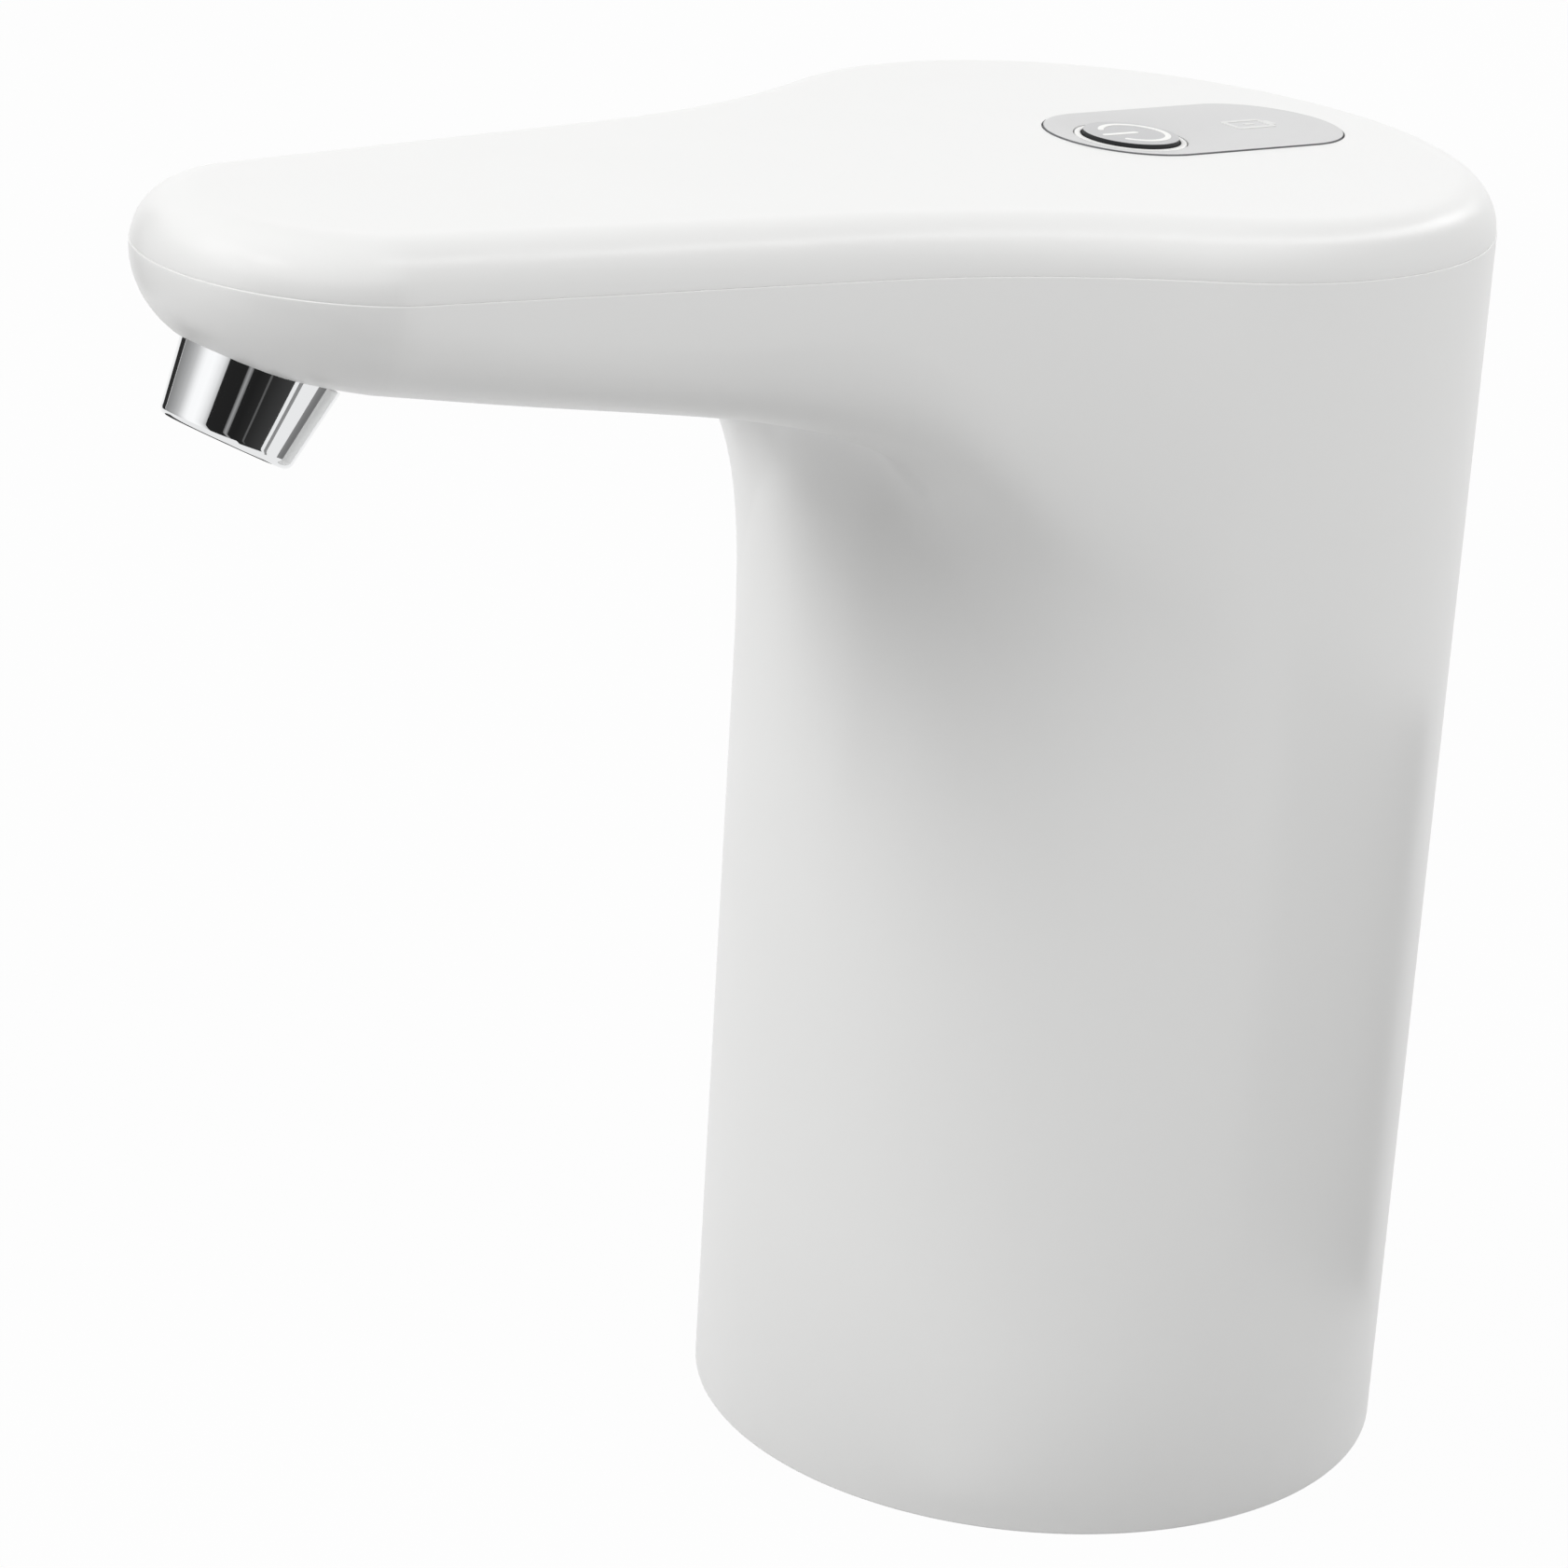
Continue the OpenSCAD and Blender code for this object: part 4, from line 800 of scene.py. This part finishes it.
# Screws: one rule for all of them, a recessed head and a threaded shank at each point
def screw_rule():
    tree = bpy.data.node_groups.new("screw_set", "GeometryNodeTree")
    face = tree.interface
    face.new_socket("Geometry", in_out="INPUT", socket_type="NodeSocketGeometry")
    for label in ("Head Radius", "Head Height", "Shank Radius", "Length", "Pitch"):
        face.new_socket(label, in_out="INPUT", socket_type="NodeSocketFloat")
    face.new_socket("Turn", in_out="INPUT", socket_type="NodeSocketVector")
    face.new_socket("Finish", in_out="INPUT", socket_type="NodeSocketMaterial")
    face.new_socket("Geometry", in_out="OUTPUT", socket_type="NodeSocketGeometry")
    given = add(tree, "NodeGroupInput").outputs
    head_height, length = given["Head Height"], given["Length"]

    # what each form measures, as a share of one of the given sizes
    size = {}
    for form, source, share in (
            ("head middle", "Head Height", 0.5), ("slot length", "Head Radius", 1.24),
            ("slot width", "Head Radius", 0.32), ("core radius", "Shank Radius", 0.86),
            ("crest radius", "Shank Radius", 0.9), ("ridge radius", "Shank Radius", 0.1),
            ("core middle", "Length", 0.5), ("thread length", "Length", 0.9),
            ("thread start", "Length", 0.05)):
        scaled = add(tree, "ShaderNodeMath", {0: given[source], 1: share}, operation="MULTIPLY")
        size[form] = scaled.outputs[0]
    above_head = {}
    for form in ("core middle", "thread start"):
        raised = add(tree, "ShaderNodeMath", {0: head_height, 1: size[form]}, operation="ADD")
        above_head[form] = raised.outputs[0]

    def at_height(mesh, z):
        place = add(tree, "ShaderNodeCombineXYZ", {"Z": z}).outputs[0]
        return add(tree, "GeometryNodeTransform", {"Geometry": mesh, "Translation": place}).outputs[0]

    head = add(tree, "GeometryNodeMeshCylinder", {
        "Vertices": 40, "Radius": given["Head Radius"], "Depth": head_height})
    head = at_height(head.outputs["Mesh"], size["head middle"])
    recessed = add(tree, "GeometryNodeMeshBoolean", {"Mesh 1": head}, operation="DIFFERENCE")
    for x, y in (("slot length", "slot width"), ("slot width", "slot length")):
        block = add(tree, "ShaderNodeCombineXYZ", {"X": size[x], "Y": size[y], "Z": head_height})
        slot = add(tree, "GeometryNodeMeshCube", {"Size": block.outputs[0]})
        tree.links.new(slot.outputs["Mesh"], recessed.inputs["Mesh 2"])
    core = add(tree, "GeometryNodeMeshCylinder", {
        "Vertices": 24, "Radius": size["core radius"], "Depth": length})
    core = at_height(core.outputs["Mesh"], above_head["core middle"])
    rounds = add(tree, "ShaderNodeMath", {0: size["thread length"], 1: given["Pitch"]}, operation="DIVIDE")
    thread = add(tree, "GeometryNodeCurveSpiral", {
        "Resolution": 20, "Rotations": rounds.outputs[0], "Start Radius": size["crest radius"],
        "End Radius": size["crest radius"], "Height": size["thread length"]})
    ridge = add(tree, "GeometryNodeCurvePrimitiveCircle", {"Resolution": 4, "Radius": size["ridge radius"]})
    thread = add(tree, "GeometryNodeCurveToMesh", {
        "Curve": thread.outputs[0], "Profile Curve": ridge.outputs[0], "Fill Caps": True})
    thread = at_height(thread.outputs[0], above_head["thread start"])
    whole = add(tree, "GeometryNodeJoinGeometry")
    for part in (recessed.outputs["Mesh"], core, thread):
        tree.links.new(part, whole.inputs[0])
    placed = add(tree, "GeometryNodeInstanceOnPoints", {
        "Points": given["Geometry"], "Instance": whole.outputs[0], "Rotation": given["Turn"]})
    made = add(tree, "GeometryNodeRealizeInstances", {"Geometry": placed.outputs[0]})
    made = add(tree, "GeometryNodeSetMaterial", {"Geometry": made.outputs[0], "Material": given["Finish"]})
    add(tree, "NodeGroupOutput", {0: made.outputs[0]})
    return tree


def screws(rule, name, node, spots, turn, shank_d, head_d, head_h, length):
    """One set of equal screws in place of a node: sizes in mm, the recessed face of each head at a spot."""
    points = bpy.data.meshes.new(name)
    points.from_pydata([Vector(p) * MM for p in spots], [], [])
    piece = in_scene(name, points)
    change = piece.modifiers.new("screws", "NODES")
    change.node_group = rule
    pitch = 0.36 * shank_d
    values = {"Head Radius": head_d / 2 * MM, "Head Height": head_h * MM, "Shank Radius": shank_d / 2 * MM,
              "Length": length * MM, "Pitch": pitch * MM, "Turn": turn, "Finish": zinc_steel}
    for item in rule.interface.items_tree:
        if item.item_type == "SOCKET" and item.in_out == "INPUT" and item.name in values:
            change[item.identifier] = values[item.name]
    settle(piece)
    fit(piece, "pump", node)


def screw_sets():
    rule = screw_rule()
    upright, tilted, lying = (0, 0, 0), (-HEAD_TILT, 0, 0), (-math.pi / 2, 0, 0)
    board = [IN_HEAD @ Vector((x, y, -16)) for x, y in BOSS_SPOTS]
    turns = [math.radians(a) for a in (90, 210, 330)]
    clamps = [(19 * math.cos(a), 19 * math.sin(a), 29) for a in turns]
    pump, motor = [[(x, y, 39.9) for y in (-14.5, 2.5)] for x in (5.6, -5.6)]
    strap = [(x, 3.95, 72.4) for x in (-23.4, 12.2)]
    screws(rule, "board_fixing_screws", "board_screws", board, tilted, 1.78, 4, 1.4, 5.5)
    screws(rule, "chassis_fixing_screws", "chassis_screws", clamps, upright, 2.58, 5.2, 2.2, 7.1)
    screws(rule, "pump_fixing_screws", "pump_screws", pump, upright, 2.16, 4.4, 1.5, 10)
    screws(rule, "motor_fixing_screws", "motor_screws", motor, upright, 2.5, 4.4, 1.5, 16.9)
    screws(rule, "strap_fixing_screws", "strap_screws", strap, lying, 1.78, 4, 1.4, 2.5)


body_shell()
top_cover()
control_panel()
power_icon()
battery_icon()
power_button()
light_ring()
spout_nozzle()
screw_sets()

# Solids that keep their own shape, by material
coats = (
    (white_pp, ("neck_collar", "chassis", "battery_cradle")),
    (white_acetal, ("inlet_spigot", "drive_gear", "driven_gear", "switch_plunger")),
    (grey_silicone, ("neck_sleeve", "neck_gasket", "floor_gasket")),
    (clear_silicone, ("outlet_hose",)),
    (black_nitrile, ("motor_damper", "nozzle_oring", "shaft_seal", "pump_gasket")),
    (grey_nylon, ("pump_cover", "pump_housing", "outlet_elbow", "spout_elbow")),
    (black_pbt, ("motor_end_cap", "tact_switch", "flow_insert")),
    (ground_steel, ("gear_arbor", "rotor_shaft")),
    (nickel_steel, ("motor_can", "motor_strap", "charge_socket", "battery_contacts")),
    (sintered_bronze, ("motor_bushing",)),
    (ferrite, ("field_magnets",)),
    (enamelled_copper, ("armature",)),
    (turned_copper, ("commutator",)),
    (tinned_brass, ("motor_terminals",)),
    (green_mask, ("circuit_board",)),
    (clear_epoxy, ("indicator_leds",)),
    (blue_sleeve, ("battery_cell",)),
)
for coat, nodes in coats:
    for node in nodes:
        for slot in solids[node].material_slots:
            slot.material = coat

# Camera at the photograph's viewing angle: place in mm, angles in degrees, focal length and frame in pixels
CAMERA_AT = Vector((354.9, -333.8, 248.0))
CAMERA_TURN, CAMERA_PITCH, CAMERA_ROLL = 50.14, 20.97, 3.71
FOCAL_PX, FRAME_PX = 5756.11, 1682


def photo_camera():
    turn, pitch, roll = (math.radians(a) for a in (CAMERA_TURN, CAMERA_PITCH, CAMERA_ROLL))
    ahead = Vector((-math.sin(turn) * math.cos(pitch), math.cos(turn) * math.cos(pitch), -math.sin(pitch)))
    level = Vector((math.cos(turn), math.sin(turn), 0))
    up = level.cross(ahead)
    right = math.cos(roll) * level + math.sin(roll) * up
    upright = math.cos(roll) * up - math.sin(roll) * level
    camera = in_scene("photo_camera", bpy.data.cameras.new("photo_camera"))
    camera.data.sensor_fit = "HORIZONTAL"
    camera.data.sensor_width = 36
    camera.data.lens = 36 * FOCAL_PX / FRAME_PX
    camera.data.clip_start = 0.01
    rotation = Matrix((right, upright, -ahead)).transposed().to_4x4()
    camera.matrix_world = Matrix.Translation(CAMERA_AT * MM) @ rotation
    bpy.context.scene.camera = camera


# Studio: pale floor, white surround, large soft lamps. Lengths in mm, angles in degrees, power in watts
FILL_LEVEL = 0.34
FLOOR_HALF = 4000
# How much of the floor's own shade gives way to white, where the camera or a mirror sees it
FLOOR_WHITE = 0.97
LAMP_TARGET = Vector((0, -30, 80))
LAMP_DISTANCE = 1350
LAMP_SIZE = 500
BOARD_SIZE = 200
ARCH_CENTRE = Vector((0, -20, 125))
ARCH_DISTANCE = 600
CARD_CENTRE_Y = -99.5
CARD_R = 55.0

# Soft lamps: bearing from +X, rise, power
softboxes = {
    "left_high_softbox": (-125, 43, 5.2),
    "left_low_softbox": (-110, 28, 3.3),
    "front_low_softbox": (-95, 28, 2.6),
    "left_top_softbox": (-160, 60, 0.55),
    "right_softbox": (0, 43, 2.9),
    "right_back_softbox": (30, 43, 4.7),
    "back_low_softbox": (120, 15, 5.9),
}
# White boards on the floor: x, y, power
floor_boards = {
    "right_floor_board": (250, 100, 0.046),
    "near_floor_board": (300, -150, 0.055),
    "front_floor_board": (120, -130, 0.03),
}
# Strips that only gloss shows: (bearing, rise) along them, width as an angle, brightness. The first makes
# the bright line along the rounded edge of the cover, the second the highlight on the spout's corner
strips = {
    "arch_light": ([(10, 74), (35, 65), (55, 55), (66, 48), (90, 29), (105, 15)], 7, 5.5),
    "tip_light": ([(-91, 45), (-79, 45)], 6, 9.0),
}
# What the chrome mirrors, bent about the nozzle: (bearing, brightness) along each card, its lower and upper
# edge, its radius. Black flags on the camera's side, a scrim on the left, a grey card beside the column
cards = {
    "black_flag": ([(-73, 0.02), (-30, 0.017)], 97.5, 150, CARD_R),
    "near_flag": ([(-30, 0.017), (-10, 0.03), (13, 0.055)], 80, 150, CARD_R),
    "thin_strip": ([(-45.5, 0.12), (-42, 0.38), (-38.5, 0.15)], 97.5, 150, CARD_R - 1),
    "faint_strip": ([(-17, 0.12), (-14.5, 0.12)], 97.5, 150, CARD_R - 1),
    "left_scrim": ([(-73, 0.55), (-80, 0.9), (-88, 1.08), (-96, 1.18), (-109, 1.16), (-115, 1.05),
                    (-129, 0.62), (-140, 0.46), (-152, 0.35), (-163, 0.28)], 100, 150, CARD_R),
    "scrim_edge": ([(-164, 0.03), (-180, 0.03)], 100, 150, CARD_R),
    "edge_strip": ([(18.5, 0.3), (24, 0.3)], 60, 110, CARD_R),
    "grey_card": ([(52, 0.28), (63, 0.21), (80, 0.2)], 2, 67, 150),
    "under_flag": ([(143, 0.04), (205, 0.04)], 40, 101, 30),
}


def white_surround():
    """A world that lights the object as a soft fill, and is plain white to camera, gloss and glass."""
    world = bpy.data.worlds.new("studio")
    world.use_nodes = True
    tree = world.node_tree
    tree.nodes.clear()
    rays = add(tree, "ShaderNodeLightPath").outputs
    seen = add(tree, "ShaderNodeMath", {
        0: rays["Is Camera Ray"], 1: rays["Is Glossy Ray"]}, operation="MAXIMUM")
    seen = add(tree, "ShaderNodeMath", {
        0: seen.outputs[0], 1: rays["Is Transmission Ray"]}, operation="MAXIMUM")
    fill = add(tree, "ShaderNodeBackground", {"Color": (1, 1, 1, 1), "Strength": FILL_LEVEL})
    white = add(tree, "ShaderNodeBackground", {"Color": (1, 1, 1, 1), "Strength": 1.0})
    both = add(tree, "ShaderNodeMixShader", {0: seen.outputs[0], 1: fill.outputs[0], 2: white.outputs[0]})
    add(tree, "ShaderNodeOutputWorld", {"Surface": both.outputs[0]})
    return world


def floor_paper():
    """Seamless background paper: matt, and mostly white to the camera so that only the shadow shows."""
    material = bpy.data.materials.new("background_paper")
    material.use_nodes = True
    tree = material.node_tree
    tree.nodes.clear()
    rays = add(tree, "ShaderNodeLightPath").outputs
    seen = add(tree, "ShaderNodeMath", {
        0: rays["Is Camera Ray"], 1: rays["Is Glossy Ray"]}, operation="MAXIMUM")
    share = add(tree, "ShaderNodeMath", {0: seen.outputs[0], 1: FLOOR_WHITE}, operation="MULTIPLY")
    paper = add(tree, "ShaderNodeBsdfDiffuse", {"Color": linear("#b4b4b4")})
    glow = add(tree, "ShaderNodeEmission", {"Color": (1, 1, 1, 1), "Strength": 1.0})
    both = add(tree, "ShaderNodeMixShader", {0: share.outputs[0], 1: paper.outputs[0], 2: glow.outputs[0]})
    add(tree, "ShaderNodeOutputMaterial", {"Surface": both.outputs[0]})
    return material


def direction(bearing, rise):
    a, e = math.radians(bearing), math.radians(rise)
    return Vector((math.cos(a) * math.cos(e), math.sin(a) * math.cos(e), math.sin(e)))


def soft_lamp(name, bearing, rise, power):
    """A square soft lamp that looks at the object."""
    out = direction(bearing, rise)
    lamp = bpy.data.lights.new(name, "AREA")
    lamp.size = LAMP_SIZE * MM
    lamp.energy = power
    placed = in_scene(name, lamp)
    placed.location = (LAMP_TARGET + out * LAMP_DISTANCE) * MM
    placed.rotation_euler = out.to_track_quat("Z", "Y").to_euler()
    # hidden from glossy rays: gloss comes from the strips
    placed.visible_glossy = False


def floor_board(name, x, y, power):
    """A white board lying on the floor out of sight, that throws light up."""
    lamp = bpy.data.lights.new(name, "AREA")
    lamp.size = BOARD_SIZE * MM
    lamp.energy = power
    board = in_scene(name, lamp)
    board.location = Vector((x, y, 2)) * MM
    board.rotation_euler = (math.pi, 0, 0)
    board.visible_camera = False
    board.visible_glossy = False


def card(name, edges, z0, z1, r):
    """A bent card about the nozzle that only mirrors see."""
    rails, levels = [], []
    for (a0, b0), (a1, b1) in zip(edges, edges[1:]):
        for k in range(13):
            a = math.radians(mix(a0, a1, k / 12))
            rails.append([Vector((r * math.cos(a), r * math.sin(a) + CARD_CENTRE_Y, z)) for z in (z0, z1)])
            levels.append(mix(b0, b1, k / 12))
    glowing_strip(name, rails, levels)


def arch(name, bends, width, level):
    """A far strip along (bearing, rise), as wide as an angle, that only glossy faces see."""
    centres = []
    for (a0, e0), (a1, e1) in zip(bends, bends[1:]):
        centres += [direction(mix(a0, a1, k / 8), mix(e0, e1, k / 8)) for k in range(8)]
    rails = []
    half = math.tan(math.radians(width / 2))
    for k, out in enumerate(centres):
        along = centres[min(k + 1, len(centres) - 1)] - centres[max(k - 1, 0)]
        across = along.cross(out).normalized() * half
        rails.append([ARCH_CENTRE + (out + side * across) * ARCH_DISTANCE for side in (-1, 1)])
    glowing_strip(name, rails, [level] * len(rails))


def glowing_strip(name, rails, levels):
    """A strip between pairs of points in mm, with a brightness at each pair, seen by glossy rays alone."""
    points = [p * MM for pair in rails for p in pair]
    faces = [(2 * k, 2 * k + 2, 2 * k + 3, 2 * k + 1) for k in range(len(rails) - 1)]
    mesh = bpy.data.meshes.new(name)
    mesh.from_pydata(points, [], faces)
    brightness = mesh.attributes.new("brightness", "FLOAT", "POINT").data
    brightness.foreach_set("value", [level for level in levels for _ in (0, 1)])
    material = bpy.data.materials.new(name)
    material.use_nodes = True
    tree = material.node_tree
    tree.nodes.clear()
    level = add(tree, "ShaderNodeAttribute", attribute_name="brightness")
    glow = add(tree, "ShaderNodeEmission", {"Color": (1, 1, 1, 1), "Strength": level.outputs["Fac"]})
    add(tree, "ShaderNodeOutputMaterial", {"Surface": glow.outputs[0]})
    material.cycles.emission_sampling = "NONE"
    mesh.materials.append(material)
    piece = in_scene(name, mesh)
    piece.visible_camera = False
    piece.visible_diffuse = False
    piece.visible_transmission = False
    piece.visible_shadow = False
    piece.visible_volume_scatter = False


def studio():
    scene = bpy.context.scene
    scene.view_settings.view_transform = "Standard"
    scene.world = white_surround()
    corners = [(x * FLOOR_HALF, y * FLOOR_HALF, 0) for x, y in ((-1, -1), (1, -1), (1, 1), (-1, 1))]
    floor = mesh_piece("floor", corners, [(0, 1, 2, 3)], floor_paper())
    for name, values in softboxes.items():
        soft_lamp(name, *values)
    for name, values in floor_boards.items():
        floor_board(name, *values)
    for name, values in strips.items():
        arch(name, *values)
    for name, values in cards.items():
        card(name, *values)


photo_camera()
studio()
